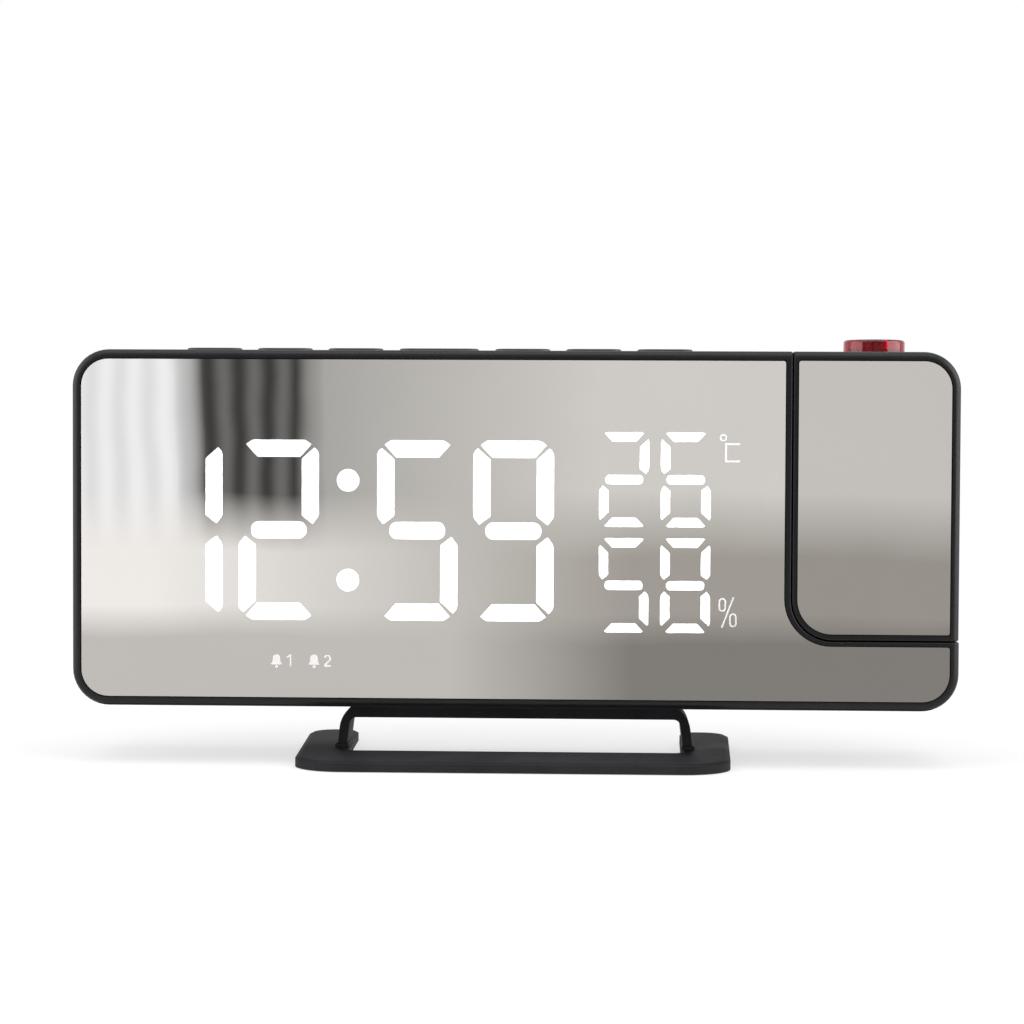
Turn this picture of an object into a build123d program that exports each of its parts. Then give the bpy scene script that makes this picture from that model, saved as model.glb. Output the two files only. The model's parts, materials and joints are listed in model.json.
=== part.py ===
"""Mirror-faced projection alarm clock: a clock case on an arched foot, with a tilting projector head.

Frame: X to the right along the width, Y to the back, Z up. The origin is on the table, under the middle
of the case. All sizes are in millimetres.
"""

from build123d import *

import os
from math import atan2, cos, pi, radians, sin, sqrt, tan
from typing import NamedTuple

os.makedirs("parts", exist_ok=True)

# ---------------------------------------------------------------- driving dimensions

CASE_W = 192.0           # width of the case with the projector head
CASE_H = 77.4            # height of the case
CASE_D = 34.0            # depth of the case
CASE_BOTTOM = 12.6       # clearance under the case, set by the stand
CORNER_R = 8.0           # corners of the front view
FRONT_EDGE_R = 1.6       # rounding of the bezel's outer front edge
BACK_EDGE_R = 2.6        # rounding of the case's rear edge
SEAM_EDGE_R = 0.35       # rounding along the seam between case and head
WALL = 2.0               # plastic wall of the shells
RIM = 1.9                # bezel rim around the mirror
WALL_RIM = 1.25          # the case's rim left of the seam
LEDGE_RIM = 0.9          # and under it
HEAD_RIM = 0.95          # the head's rim right of the seam
HEAD_LOW_RIM = 1.12      # and over it

WALL_X = 59.77           # right wall of the case, where the head begins
LEDGE_Z = 27.62          # ledge of the case, under the head
NOTCH_R = 9.0            # inner corner between that wall and the ledge
SEAM = 0.25              # gap between case and head
HEAD_INSET = 0.1         # how far the head's right side stands back from the case's

MIRROR_T = 2.0           # mirror panels
MIRROR_RECESS = 0.25     # how far they lie behind the rim
LIP_W = 1.7              # ledge that carries a mirror panel
LIP_T = 1.3
SMALL_R = 0.6            # corners of the panels at the seam

PIVOT_Z = 58.7           # tilt axis of the head, along X at Y = 0
SHAFT_R = 5.0
SHAFT_BORE_R = 3.2
SHAFT_PLAY = 0.05        # radial clearance of turning fits
FLANGE_R = 8.4

OPTICS_X = 78.9          # vertical axis of the projector, at Y = 0
CAP_R = 6.73             # red focus cap
CAP_TOP = 93.0

KEY_SMALL = 12.3         # widths of the keys
KEY_LARGE = 17.7
KEY_D = 6.0
KEY_PROUD = 0.8
KEY_PLAY = 0.15
KEY_MIDDLE_X = -17.25    # the large key
KEY_STEP_LARGE = 18.55   # from the large key to the next
KEY_STEP = 15.75         # between small keys
KEY_NAMES = ["alarm_key", "minus_key", "plus_key", "snooze_key", "mode_key", "dimmer_key", "projector_key"]

BOARD_T = 1.6            # circuit boards

FOOT_W = 93.2            # stand: foot plate, at its front
FOOT_REAR_W = 97.6       # and at the rear ends of its two wings
FOOT_D = 57.4
FOOT_T = 2.25
FOOT_BEVEL = 1.0         # width of the bevel round its top
FOOT_LIFT = 0.15         # the pads stand out below it by this
FOOT_BAR_D = 19.7        # depth of its front bar
FOOT_GAP_W = 73.2        # gap between the wings, at the front bar
FOOT_GAP_REAR_W = 75.0   # and at the rear
ARCH_W = 78.6            # stand: arch, outside its legs at the foot
ARCH_TOP_W = 76.6
ARCH_T = 2.0
ARCH_BAR_T = 3.6
ARCH_FRONT = -4.2
ARCH_BACK = 7.8

# ---------------------------------------------------------------- derived places

CASE_TOP = CASE_BOTTOM + CASE_H
HALF_W = CASE_W / 2
FRONT = -CASE_D / 2
BACK = CASE_D / 2
SPLIT = FRONT + 8.0                       # the bezels end here and the rear shells begin
MIRROR_FRONT = FRONT + MIRROR_RECESS
MIRROR_BACK = MIRROR_FRONT + MIRROR_T
LIP_BACK = MIRROR_BACK + LIP_T
HEAD_X = WALL_X + SEAM                    # left side of the head
HEAD_Z = LEDGE_Z + SEAM                   # underside of the head
HEAD_RIGHT = HALF_W - HEAD_INSET
CRADLE_TOP = PIVOT_Z - 18.6               # the ledge's trough stays below the head when that is level
FOOT_TOP = FOOT_LIFT + FOOT_T
ARCH_BAR_Z = CASE_BOTTOM - ARCH_BAR_T
FACE_Z = CASE_BOTTOM + CASE_H / 2
BEYOND = 110.0                            # past every side of the object
SLACK = 0.05                              # play between fixed parts that nest

# ---------------------------------------------------------------- shape helpers


def on_axis(axis, u, v, along):
    """Point with (u, v) across an axis and the given place along it."""
    if axis == "x":
        return Vector(along, u, v)
    if axis == "y":
        return Vector(u, along, v)
    return Vector(u, v, along)


def outline(points, axis, along):
    """Flat face from (u, v, corner radius) points, with its corners as tangent arcs."""
    count = len(points)
    starts, ends, middles = [], [], []
    for i, (u, v, radius) in enumerate(points):
        corner = Vector(u, v, 0)
        to_last = (Vector(*points[i - 1][:2], 0) - corner).normalized()
        to_next = (Vector(*points[(i + 1) % count][:2], 0) - corner).normalized()
        if radius <= 0:
            starts.append(corner)
            ends.append(corner)
            middles.append(None)
            continue
        half = radians(to_last.get_angle(to_next)) / 2
        reach = radius / tan(half)
        bisector = (to_last + to_next).normalized()
        centre = corner + bisector * (radius / sin(half))
        starts.append(corner + to_last * reach)
        ends.append(corner + to_next * reach)
        middles.append(centre - bisector * radius)
    edges = []
    for i in range(count):
        begin, end = ends[i - 1], starts[i]
        if (end - begin).length > 1e-6:
            edges.append(Line(on_axis(axis, begin.X, begin.Y, along), on_axis(axis, end.X, end.Y, along)))
        if middles[i] is not None:
            arc = [on_axis(axis, p.X, p.Y, along) for p in (starts[i], middles[i], ends[i])]
            edges.append(ThreePointArc(*arc))
    return Face(Wire(edges))


def prism(points, axis, start, end):
    """Solid with that outline across the axis, from start to end along it."""
    return Solid.extrude(outline(points, axis, start), on_axis(axis, 0, 0, end - start))


def rectangle(u0, v0, u1, v1, radius=0.0):
    """Corner points of a rectangle with rounded corners."""
    return [(u0, v0, radius), (u1, v0, radius), (u1, v1, radius), (u0, v1, radius)]


def box(x0, y0, z0, x1, y1, z1):
    """Block between two corners."""
    return prism(rectangle(x0, y0, x1, y1), "z", z0, z1)


def rod(axis, u, v, start, end, radius):
    """Round bar along an axis."""
    direction = on_axis(axis, 0, 0, 1)
    return Solid.make_cylinder(radius, end - start, Plane(on_axis(axis, u, v, start), z_dir=direction))


def ring(axis, u, v, start, end, outer, inner):
    """Round sleeve along an axis."""
    return rod(axis, u, v, start, end, outer) - rod(axis, u, v, start - 1, end + 1, inner)


def cone(axis, u, v, start, end, r_start, r_end):
    """Tapered round bar along an axis."""
    direction = on_axis(axis, 0, 0, 1)
    place = Plane(on_axis(axis, u, v, start), z_dir=direction)
    return Solid.make_cone(r_start, r_end, end - start, place)


def lathe(profile, x, y):
    """Solid of revolution about a vertical axis at (x, y), from (radius, z) points."""
    face = Face(Wire.make_polygon([Vector(x + r, y, z) for r, z in profile], close=True))
    return Solid.revolve(face, 360, Axis((x, y, 0), (0, 0, 1)))


def lens(x, y, z, radius, rim, bulge_down, bulge_up):
    """Round lens on a vertical axis: rim is its edge thickness, and each bulge is a cap's height."""
    down, up = Vector(x, y, z - bulge_down), Vector(x, y, z + rim + bulge_up)
    low, high = Vector(x + radius, y, z), Vector(x + radius, y, z + rim)
    edges = [Line(down, up), Line(low, high)]
    for pole, edge, bulge, side in ((up, high, bulge_up, -1), (down, low, bulge_down, 1)):
        if bulge <= 0:
            edges.append(Line(pole, edge))
            continue
        sphere = (radius**2 + bulge**2) / (2 * bulge)
        centre = pole + Vector(0, 0, side * sphere)
        turn = atan2(radius, sphere - bulge) / 2
        middle = centre + Vector(sin(turn), 0, -side * cos(turn)) * sphere
        edges.append(ThreePointArc(pole, middle, edge))
    return Solid.revolve(Face(Wire(edges)), 360, Axis((x, y, 0), (0, 0, 1)))


def mirrored(solid):
    """The same shape on the other side of the YZ plane."""
    return solid.mirror(Plane.YZ)


def save(node, *shapes):
    """Write one node's solids to its own file."""
    solids = [solid for shape in shapes for solid in shape.solids()]
    export_step(Compound(solids), f"parts/{node}.step")


def fused(*shapes):
    """One shape from several that touch or overlap."""
    first, *others = shapes
    return first.fuse(*others)


def cut(shape, *tools):
    """The shape without the tools."""
    return shape.cut(*tools)


# ---------------------------------------------------------------- outer forms of case and head


def case_points(outer, wall, ledge):
    """Front view of the case, moved in by outer along its outside, and by wall and ledge along the head."""
    left, right = outer - HALF_W, HALF_W - outer
    low, high = CASE_BOTTOM + outer, CASE_TOP - outer
    return [
        (left, low, CORNER_R - outer),
        (right, low, CORNER_R - outer),
        (right, LEDGE_Z - ledge, SMALL_R),
        (WALL_X - wall, LEDGE_Z - ledge, NOTCH_R + (wall + ledge) / 2),
        (WALL_X - wall, high, SMALL_R),
        (left, high, CORNER_R - outer),
    ]


def head_points(outer, wall, low):
    """Front view of the head, moved in by outer along its outside, and by wall and low along the case."""
    right, high = HEAD_RIGHT - outer, CASE_TOP - outer
    return [
        (HEAD_X + wall, HEAD_Z + low, NOTCH_R - SEAM - (wall + low) / 2),
        (right, HEAD_Z + low, SMALL_R),
        (right, high, CORNER_R - outer),
        (HEAD_X + wall, high, SMALL_R),
    ]


def blank(right):
    """Rounded block of the whole front view, up to the given right side, with its edges eased."""
    solid = prism(rectangle(-HALF_W, CASE_BOTTOM, right, CASE_TOP, CORNER_R), "y", FRONT, BACK)
    front_edges = [e for e in solid.edges() if abs(e.bounding_box().max.Y - FRONT) < 1e-3]
    solid = solid.fillet(FRONT_EDGE_R, front_edges)
    back_edges = [e for e in solid.edges() if abs(e.bounding_box().min.Y - BACK) < 1e-3]
    return solid.fillet(BACK_EDGE_R, back_edges)


def head_room(x, z, radius, back):
    """Space right of x and above z: upright in front of the tilt axis and swept round it behind."""
    corner = [(x, z, radius), (BEYOND, z, 0)]
    upright = prism(corner + [(BEYOND, BEYOND, 0), (x, BEYOND, 0)], "y", -BEYOND, 0)
    below = outline(corner + [(BEYOND, PIVOT_Z, 0), (x, PIVOT_Z, 0)], "y", 0)
    swept = Solid.revolve(below, 90, Axis((0, 0, PIVOT_Z), (1, 0, 0)))
    swept = swept & box(x - 1, -1, 0, BEYOND + 1, back, PIVOT_Z + 1)
    above = box(x, 0, PIVOT_Z, BEYOND, back, BEYOND)
    return upright, swept, above


def case_form():
    """The case's outer shape, before it is hollowed and split."""
    upright, swept, above = head_room(WALL_X, LEDGE_Z, NOTCH_R, BEYOND)
    over_trough = box(WALL_X, -1, CRADLE_TOP, BEYOND, BEYOND, PIVOT_Z + 1)
    solid = cut(blank(HALF_W), upright, swept, above, over_trough).solid()
    return ease_seam(solid, WALL_X, LEDGE_Z, NOTCH_R)


def head_form():
    """The head's outer shape, before it is hollowed and split."""
    upright, swept, above = head_room(HEAD_X, HEAD_Z, NOTCH_R - SEAM, BEYOND)
    solid = (blank(HEAD_RIGHT) & fused(upright, swept, above)).solid()
    return ease_seam(solid, HEAD_X, HEAD_Z, NOTCH_R - SEAM)


def ease_seam(solid, x, z, radius):
    """Round the front edges along the seam."""
    chosen = []
    for edge in solid.edges():
        span = edge.bounding_box()
        in_front = span.max.Y < FRONT + 1e-3
        beside = span.min.X > x - 1e-3 and span.min.Z > z - 1e-3
        low = span.max.X < x + radius + 1e-3 or span.max.Z < z + 1e-3
        if in_front and beside and low:
            chosen.append(edge)
    return solid.fillet(SEAM_EDGE_R, chosen)


def slice_y(solid, start, end):
    """The part of a solid between two depths."""
    return (solid & box(-BEYOND, start, -1, BEYOND, end, BEYOND)).solid()


# ---------------------------------------------------------------- screws and their posts

CASE_SCREWS = [(-88.5, 20.1), (-88.5, 82.5), (52.4, 82.5), (88.3, 20.0)]
HEAD_SCREWS = [(67.6, 81.8), (89.9, 36.5)]
POST_R = 3.0
POST_END = SPLIT + 2.0
COLUMN_R = 4.0
SCREW_R = 1.4
SCREW_HEAD_R = 2.7
SCREW_SEAT = 12.6         # depth at which the screw heads bear
SCREW_L = 24.5
COUNTERBORE_R = 3.1


def posts(places, reach):
    """Screw posts behind a bezel, each with a rib to its side wall, and their pilot holes."""
    solids, holes = [], []
    for (x, z), wall in zip(places, reach):
        solids.append(rod("y", x, z, LIP_BACK + 0.2, POST_END, POST_R))
        solids.append(box(min(x, wall), LIP_BACK + 0.2, z - 1, max(x, wall), SPLIT, z + 1))
        holes.append(rod("y", x, z, LIP_BACK + 1, POST_END + 1, SCREW_R + SLACK))
    return solids, holes


def columns(places):
    """Screw columns inside a rear shell and the stepped holes through them."""
    solids, holes = [], []
    for x, z in places:
        solids.append(rod("y", x, z, POST_END + 0.2, BACK - 1, COLUMN_R))
        holes.append(rod("y", x, z, SPLIT - 5, BACK + 1, SCREW_R + 0.2))
        holes.append(rod("y", x, z, SCREW_SEAT, BACK + 1, COUNTERBORE_R))
    return solids, holes


def pan_screw(x, z):
    """Pan-head screw that points to the front."""
    shank = rod("y", x, z, SCREW_SEAT - SCREW_L, SCREW_SEAT, SCREW_R)
    head = rod("y", x, z, SCREW_SEAT, SCREW_SEAT + 1.9, SCREW_HEAD_R)
    rim = [e for e in head.edges() if e.bounding_box().min.Y > SCREW_SEAT + 1.8]
    head = head.fillet(0.7, rim)
    slot = box(x - 0.35, SCREW_SEAT + 0.9, z - 1.5, x + 0.35, SCREW_SEAT + 3, z + 1.5)
    cross = box(x - 1.5, SCREW_SEAT + 0.9, z - 0.35, x + 1.5, SCREW_SEAT + 3, z + 0.35)
    return cut(fused(shank, head), slot, cross)


# ---------------------------------------------------------------- case: bezel, mirror and rear shell


def parting_groove(left, right):
    """Shallow groove round the outside where a bezel meets its rear shell."""
    plate = prism(rectangle(-BEYOND, 0, BEYOND, BEYOND), "y", SPLIT - 0.25, SPLIT + 1)
    kept = rectangle(left, CASE_BOTTOM + 0.25, right, CASE_TOP - 0.25, CORNER_R - 0.25)
    return cut(plate, prism(kept, "y", SPLIT - 1, SPLIT + 2))


def make_front_bezel(form):
    """Front frame of the case, with the lip that carries the mirror and the screw posts."""
    frame = slice_y(form, FRONT - 1, SPLIT)
    pocket = prism(case_points(RIM, WALL_RIM, LEDGE_RIM), "y", FRONT - 2, MIRROR_BACK)
    window = prism(case_points(RIM + LIP_W, WALL_RIM + LIP_W, LEDGE_RIM + LIP_W), "y", FRONT, LIP_BACK)
    room = prism(case_points(WALL, WALL, WALL), "y", LIP_BACK, SPLIT + 1)
    joint = parting_groove(0.25 - HALF_W, HALF_W - 0.25)
    walls = [WALL / 2 - HALF_W, WALL / 2 - HALF_W, WALL_X - WALL / 2, HALF_W - WALL / 2]
    solids, holes = posts(CASE_SCREWS, walls)
    frame = cut(frame, pocket, window, room, joint)
    save("front_bezel", cut(fused(frame, *solids), *holes))


def make_mirror_panel():
    """Half-silvered acrylic sheet over the whole face of the case."""
    points = case_points(RIM + SLACK, WALL_RIM + SLACK, LEDGE_RIM + SLACK)
    sheet = prism(points, "y", MIRROR_FRONT, MIRROR_BACK)
    front_edges = [e for e in sheet.edges() if e.bounding_box().max.Y < MIRROR_FRONT + 1e-3]
    save("mirror_panel", sheet.chamfer(0.15, None, front_edges))


SPEAKER = (-62.0, 51.0)       # x and z of the loudspeaker's axis
SPEAKER_R = 16.0
GRILLE_R = 12.6
GRILLE_HOLE_R = 1.0
GRILLE_STEP = 3.6
CELL = (-24.0, 36.0)          # x and z of the coin cell's axis
COVER_R = 13.0
COVER_T = 2.4
COLLAR_R = 15.0
LUG_R = 14.5
USB_X = 30.0                  # charging socket
USB_W, USB_H, USB_L = 13.1, 5.7, 14.0
POWER_X = 8.0                 # power inlet
POWER_W, POWER_H, POWER_L = 8.9, 3.2, 8.0
PORT_BOARD = (0.0, 42.0)      # x range
PORT_Z = 21.4                 # underside of the port board
VENT_X = [-85.0 + 4.0 * i for i in range(5)]
STAND_SCREW_X = 21.0


def key_places():
    """Name, middle and width of each key, from left to right."""
    places = []
    for i, name in enumerate(KEY_NAMES):
        offset = i - 3
        if offset == 0:
            places.append((name, KEY_MIDDLE_X, KEY_LARGE))
            continue
        side = 1 if offset > 0 else -1
        step = KEY_STEP_LARGE + KEY_STEP * (abs(offset) - 1)
        places.append((name, KEY_MIDDLE_X + side * step, KEY_SMALL))
    return places


def pill(x, y, width, depth):
    """Points of a round-ended bar in plan."""
    return rectangle(x - width / 2, y - depth / 2, x + width / 2, y + depth / 2, depth / 2 - 1e-4)


def grille_holes():
    """Round sound holes on a triangular grid, inside a circle."""
    x, z = SPEAKER
    holes = []
    rows = int(GRILLE_R / (GRILLE_STEP * 0.866)) + 1
    for row in range(-rows, rows + 1):
        dz = row * GRILLE_STEP * sqrt(3) / 2
        shift = GRILLE_STEP / 2 if row % 2 else 0.0
        for column in range(-rows - 1, rows + 2):
            dx = column * GRILLE_STEP + shift
            if dx**2 + dz**2 <= (GRILLE_R - GRILLE_HOLE_R) ** 2:
                holes.append(rod("y", x + dx, z + dz, BACK - WALL - 1, BACK + 1, GRILLE_HOLE_R))
    return holes


def cover_lug(angle, play, y0, y1):
    """Bayonet lug of the battery cover at an angle, or with play the notch for it."""
    half = radians(16) + play / LUG_R
    reach = LUG_R + play
    points = [(CELL[0] + 11 * cos(angle), CELL[1] + 11 * sin(angle), 0)]
    points += [(CELL[0] + 1.06 * reach * cos(angle + t), CELL[1] + 1.06 * reach * sin(angle + t), 0)
               for t in (-half, half)]
    return prism(points, "y", y0, y1) & rod("y", *CELL, y0, y1, reach)


def make_rear_shell(form):
    """Back of the case: walls, grille, vents, port openings, battery mouth, key holes and inner supports."""
    shell = slice_y(form, SPLIT, BACK + 1)
    room = prism(case_points(WALL, WALL, WALL), "y", SPLIT - 1, BACK - WALL)
    shell = cut(shell, room)
    solids, holes = columns(CASE_SCREWS)
    solids.append(ring("y", *SPEAKER, BACK - WALL - 4.5, BACK - WALL, SPEAKER_R + 1.6, SPEAKER_R + SLACK))
    solids.append(ring("y", *CELL, BACK - WALL - 8, BACK - WALL, COLLAR_R + 1.5, COLLAR_R))
    for x in (-70.0, -17.0, 36.0):
        solids.append(box(x - 1, 4.5, 76.4, x + 1, BACK - 1, 79.3))
    for x in (PORT_BOARD[0] + 3, PORT_BOARD[1] - 3):
        for y in (-3.0, 11.0):
            solids.append(rod("z", x, y, CASE_BOTTOM + 1, PORT_Z, 2.2))
    for x in (-STAND_SCREW_X, STAND_SCREW_X):
        solids.append(rod("z", x, 0.3, CASE_BOTTOM + 1, CASE_BOTTOM + 8.4, 3.0))
        holes.append(rod("z", x, 0.3, CASE_BOTTOM - 1, CASE_BOTTOM + 7.6, SCREW_R + SLACK))
    holes += grille_holes()
    holes.append(rod("y", *CELL, BACK - WALL - 1, BACK + 1, COVER_R + SEAM / 2))
    holes += [cover_lug(radians(-60) + turn, 0.4, BACK - WALL - 1, BACK + 1) for turn in (0, pi)]
    holes.append(box(USB_X - USB_W / 2 - 0.2, BACK - WALL - 1, PORT_Z + BOARD_T - 0.2,
                     USB_X + USB_W / 2 + 0.2, BACK + 1, PORT_Z + BOARD_T + USB_H + 0.2))
    inlet = rectangle(POWER_X - POWER_W / 2 - 0.2, PORT_Z + BOARD_T - 0.2, POWER_X + POWER_W / 2 + 0.2,
                      PORT_Z + BOARD_T + POWER_H + 0.2, 1.6)
    holes.append(prism(inlet, "y", BACK - WALL - 1, BACK + 1))
    for x in VENT_X:
        holes.append(prism(rectangle(x - 0.8, 22.0, x + 0.8, 36.0, 0.75), "y", BACK - WALL - 1, BACK + 1))
    for _, x, width in key_places():
        mouth = pill(x, 0, width + 2 * KEY_PLAY, KEY_D + 2 * KEY_PLAY)
        holes.append(prism(mouth, "z", CASE_TOP - WALL - 1, CASE_TOP + 1))
    holes.append(rod("x", 0, PIVOT_Z, WALL_X - WALL - 1, WALL_X + 1, SHAFT_R + 1.95))
    save("rear_shell", cut(fused(shell, *solids), *holes))


def make_case_screws():
    """The four long screws that hold the rear shell to the bezel."""
    save("case_screws", *[pan_screw(x, z) for x, z in CASE_SCREWS])


# ---------------------------------------------------------------- display

DISPLAY_FRONT = MIRROR_BACK + SLACK
DISPLAY_STEP = LIP_BACK + SLACK
DISPLAY_BACK = DISPLAY_STEP + 2.5
SEGMENT_BACK = DISPLAY_FRONT + 1.7
SYMBOL_BACK = DISPLAY_FRONT + 1.2


class DigitForm(NamedTuple):
    """Sizes of a seven-segment digit; those from tip on are shares of its stroke."""

    width: float
    height: float
    stroke: float
    end: float         # from the digit's side to the tip of its top segment
    rise: float        # from its top to the tip of an upright
    mid: float         # from its middle to the tip of an upright
    tip: float         # from a segment's outer edge to its tip
    cut: float         # how far the mitre runs along a segment
    foot: float        # the same at the middle
    inset: float       # from the digit's side to the middle bar


TIME_FORM = DigitForm(17.5, 39.2, 3.75, 1.62, 1.66, 1.33, 0.26, 0.66, 0.45, 0.72)
SIDE_FORM = DigitForm(10.8, 20.5, 2.05, 1.16, 1.5, 1.28, 0.13, 0.82, 0.5, 0.62)
TIME_Z = FACE_Z - 0.35        # middle of the time digits
TIME_DIGITS = [(-72.15, "1"), (-51.15, "2"), (-20.98, "5"), (-0.11, "9")]
COLON_X, COLON_R = -36.05, 2.45
COLON_Z = [FACE_Z + 10.5, FACE_Z - 11.2]
SIDE_X = [23.8, 37.1]
SIDE_ROWS = [(FACE_Z + 10.95, "26"), (FACE_Z - 11.95, "58")]
LIT = {"1": "bc", "2": "abged", "5": "afgcd", "6": "afgedc", "8": "abcdefg", "9": "abcdfg"}


def digit_segments(x, z, form):
    """The seven segments of one digit, by letter, as outline points."""
    w, h, stroke = form.width / 2, form.height / 2, form.stroke
    flat = [
        (form.end - w, h - stroke * form.tip, 0), (form.end - w + stroke * form.tip * 1.4, h, stroke * 0.28),
        (w - form.end - stroke * form.tip * 1.4, h, stroke * 0.28), (w - form.end, h - stroke * form.tip, 0),
        (w - form.end - stroke * form.cut, h - stroke, stroke * 0.06),
        (form.end - w + stroke * form.cut, h - stroke, stroke * 0.06),
    ]
    upright = [
        (w - stroke * form.tip, h - form.rise, 0), (w, h - form.rise - stroke * 0.26, stroke * 0.5),
        (w, form.mid + stroke * form.foot, stroke * 0.5), (w - stroke * 0.36, form.mid, 0),
        (w - stroke, form.mid + stroke * 0.5, 0), (w - stroke, h - form.rise - stroke * form.cut, 0),
    ]
    edge = w - stroke * form.inset
    bar = rectangle(-edge, -stroke / 2, edge, stroke / 2, stroke * 0.46)

    def placed(points, side_u, side_v):
        moved = [(x + side_u * u, z + side_v * v, r) for u, v, r in points]
        return moved if side_u * side_v > 0 else moved[::-1]

    return {
        "a": placed(flat, 1, 1), "d": placed(flat, 1, -1), "g": placed(bar, 1, 1),
        "b": placed(upright, 1, 1), "c": placed(upright, 1, -1),
        "f": placed(upright, -1, 1), "e": placed(upright, -1, -1),
    }


def all_digits():
    """Every digit's segments with the number it shows: the time's four and the climate's four."""
    time = [(digit_segments(x, TIME_Z, TIME_FORM), shown) for x, shown in TIME_DIGITS]
    climate = [(digit_segments(x, z, SIDE_FORM), shown)
               for z, text in SIDE_ROWS for x, shown in zip(SIDE_X, text)]
    return time, climate


def symbol_solids(front, back):
    """Degree ring and C beside the temperature, and the percent sign beside the humidity."""
    stroke = 0.37
    ring_x, ring_z = 45.15, FACE_Z + 20.1
    left, right, low, high = 45.55, 48.75, FACE_Z + 14.8, FACE_Z + 18.9
    degree = ring("y", ring_x, ring_z, front, back, 0.78, 0.49)
    letter = fused(box(left, front, low, left + stroke, back, high),
                   box(left, front, high - stroke, right, back, high),
                   box(left, front, low, right, back, low + stroke))
    rings = []
    for x, z in ((45.16, FACE_Z - 16.03), (47.47, FACE_Z - 19.35)):
        outer = prism(rectangle(x - 0.8, z - 1.5, x + 0.8, z + 1.5, 0.78), "y", front, back)
        inner = prism(rectangle(x - 0.46, z - 1.16, x + 0.46, z + 1.16, 0.45), "y", front - 1, back + 1)
        rings.append(cut(outer, inner))
    slash = [(44.87, FACE_Z - 21.0, 0), (45.23, FACE_Z - 21.0, 0), (47.73, FACE_Z - 14.35, 0),
             (47.37, FACE_Z - 14.35, 0)]
    return [degree, letter, *rings, prism(slash, "y", front, back)]


def alarm_solids(front, back):
    """Two small bells, numbered 1 and 2."""
    solids = []
    z = FACE_Z - 30.0
    for x, number in ((-51.6, 1), (-43.4, 2)):
        bell = [(x - 1.3, z + 0.3, 0.15), (x + 1.3, z + 0.3, 0.15), (x + 0.85, z + 1.0, 0.3),
                (x + 0.8, z + 2.5, 0.75), (x - 0.8, z + 2.5, 0.75), (x - 0.85, z + 1.0, 0.3)]
        solids.append(prism(bell, "y", front, back))
        solids.append(rod("y", x, z - 0.1, front, back, 0.32))
        left, stroke = x + 2.2, 0.34
        if number == 1:
            stem = box(left + 0.7, front, z - 0.1, left + 0.7 + stroke, back, z + 2.5)
            flag = prism([(left + 0.1, z + 1.7, 0), (left + 0.9, z + 2.1, 0), (left + 0.9, z + 2.5, 0),
                          (left + 0.7, z + 2.5, 0), (left, z + 2.0, 0)], "y", front, back)
            solids.append(fused(stem, flag))
            continue
        two = [(0, 0, 0), (1.5, 0, 0), (1.5, stroke, 0), (0.5, stroke, 0), (1.5, 1.45, 0.45), (1.5, 2.6, 0.7),
               (0, 2.6, 0.7), (0, 1.9, 0), (stroke, 1.9, 0), (stroke, 2.6 - stroke, 0.34),
               (1.5 - stroke, 2.6 - stroke, 0.34), (1.5 - stroke, 1.6, 0.3), (0, 0.42, 0)]
        solids.append(prism([(left + u, z - 0.1 + v, r) for u, v, r in two], "y", front, back))
    return solids


def segment_bars(digits, lit):
    """The lit or the unlit segments of some digits."""
    return [prism(points, "y", DISPLAY_FRONT, SEGMENT_BACK)
            for segments, shown in digits
            for letter, points in segments.items()
            if (letter in LIT[shown]) == lit]


def make_display():
    """Light frame behind the mirror with every segment's window, and the segments in them."""
    time, climate = all_digits()
    block = prism(rectangle(-89.5, 18.5, 54.0, 85.0, 3.0), "y", DISPLAY_FRONT, DISPLAY_STEP)
    flange = prism(rectangle(-84.3, 17.4, 48.2, 86.0, 1.0), "y", DISPLAY_STEP, DISPLAY_BACK)
    windows = [prism(points, "y", DISPLAY_FRONT - 1, DISPLAY_BACK + 1)
               for segments, _ in time + climate for points in segments.values()]
    windows += [rod("y", COLON_X, z, DISPLAY_FRONT - 1, DISPLAY_BACK + 1, COLON_R) for z in COLON_Z]
    windows += symbol_solids(DISPLAY_FRONT - 1, SYMBOL_BACK)
    windows += alarm_solids(DISPLAY_FRONT - 1, SYMBOL_BACK)
    save("display_frame", cut(fused(block, flange), *windows))

    save("time_segments", *segment_bars(time, True))
    save("climate_segments", *segment_bars(climate, True))
    save("unlit_segments", *segment_bars(time + climate, False))
    save("colon_dots", *[rod("y", COLON_X, z, DISPLAY_FRONT, SEGMENT_BACK, COLON_R) for z in COLON_Z])
    save("unit_symbols", *symbol_solids(DISPLAY_FRONT, SYMBOL_BACK))
    save("alarm_indicators", *alarm_solids(DISPLAY_FRONT, SYMBOL_BACK))


BOARD_FRONT = DISPLAY_BACK + SLACK
BOARD_BACK = BOARD_FRONT + BOARD_T


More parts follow.
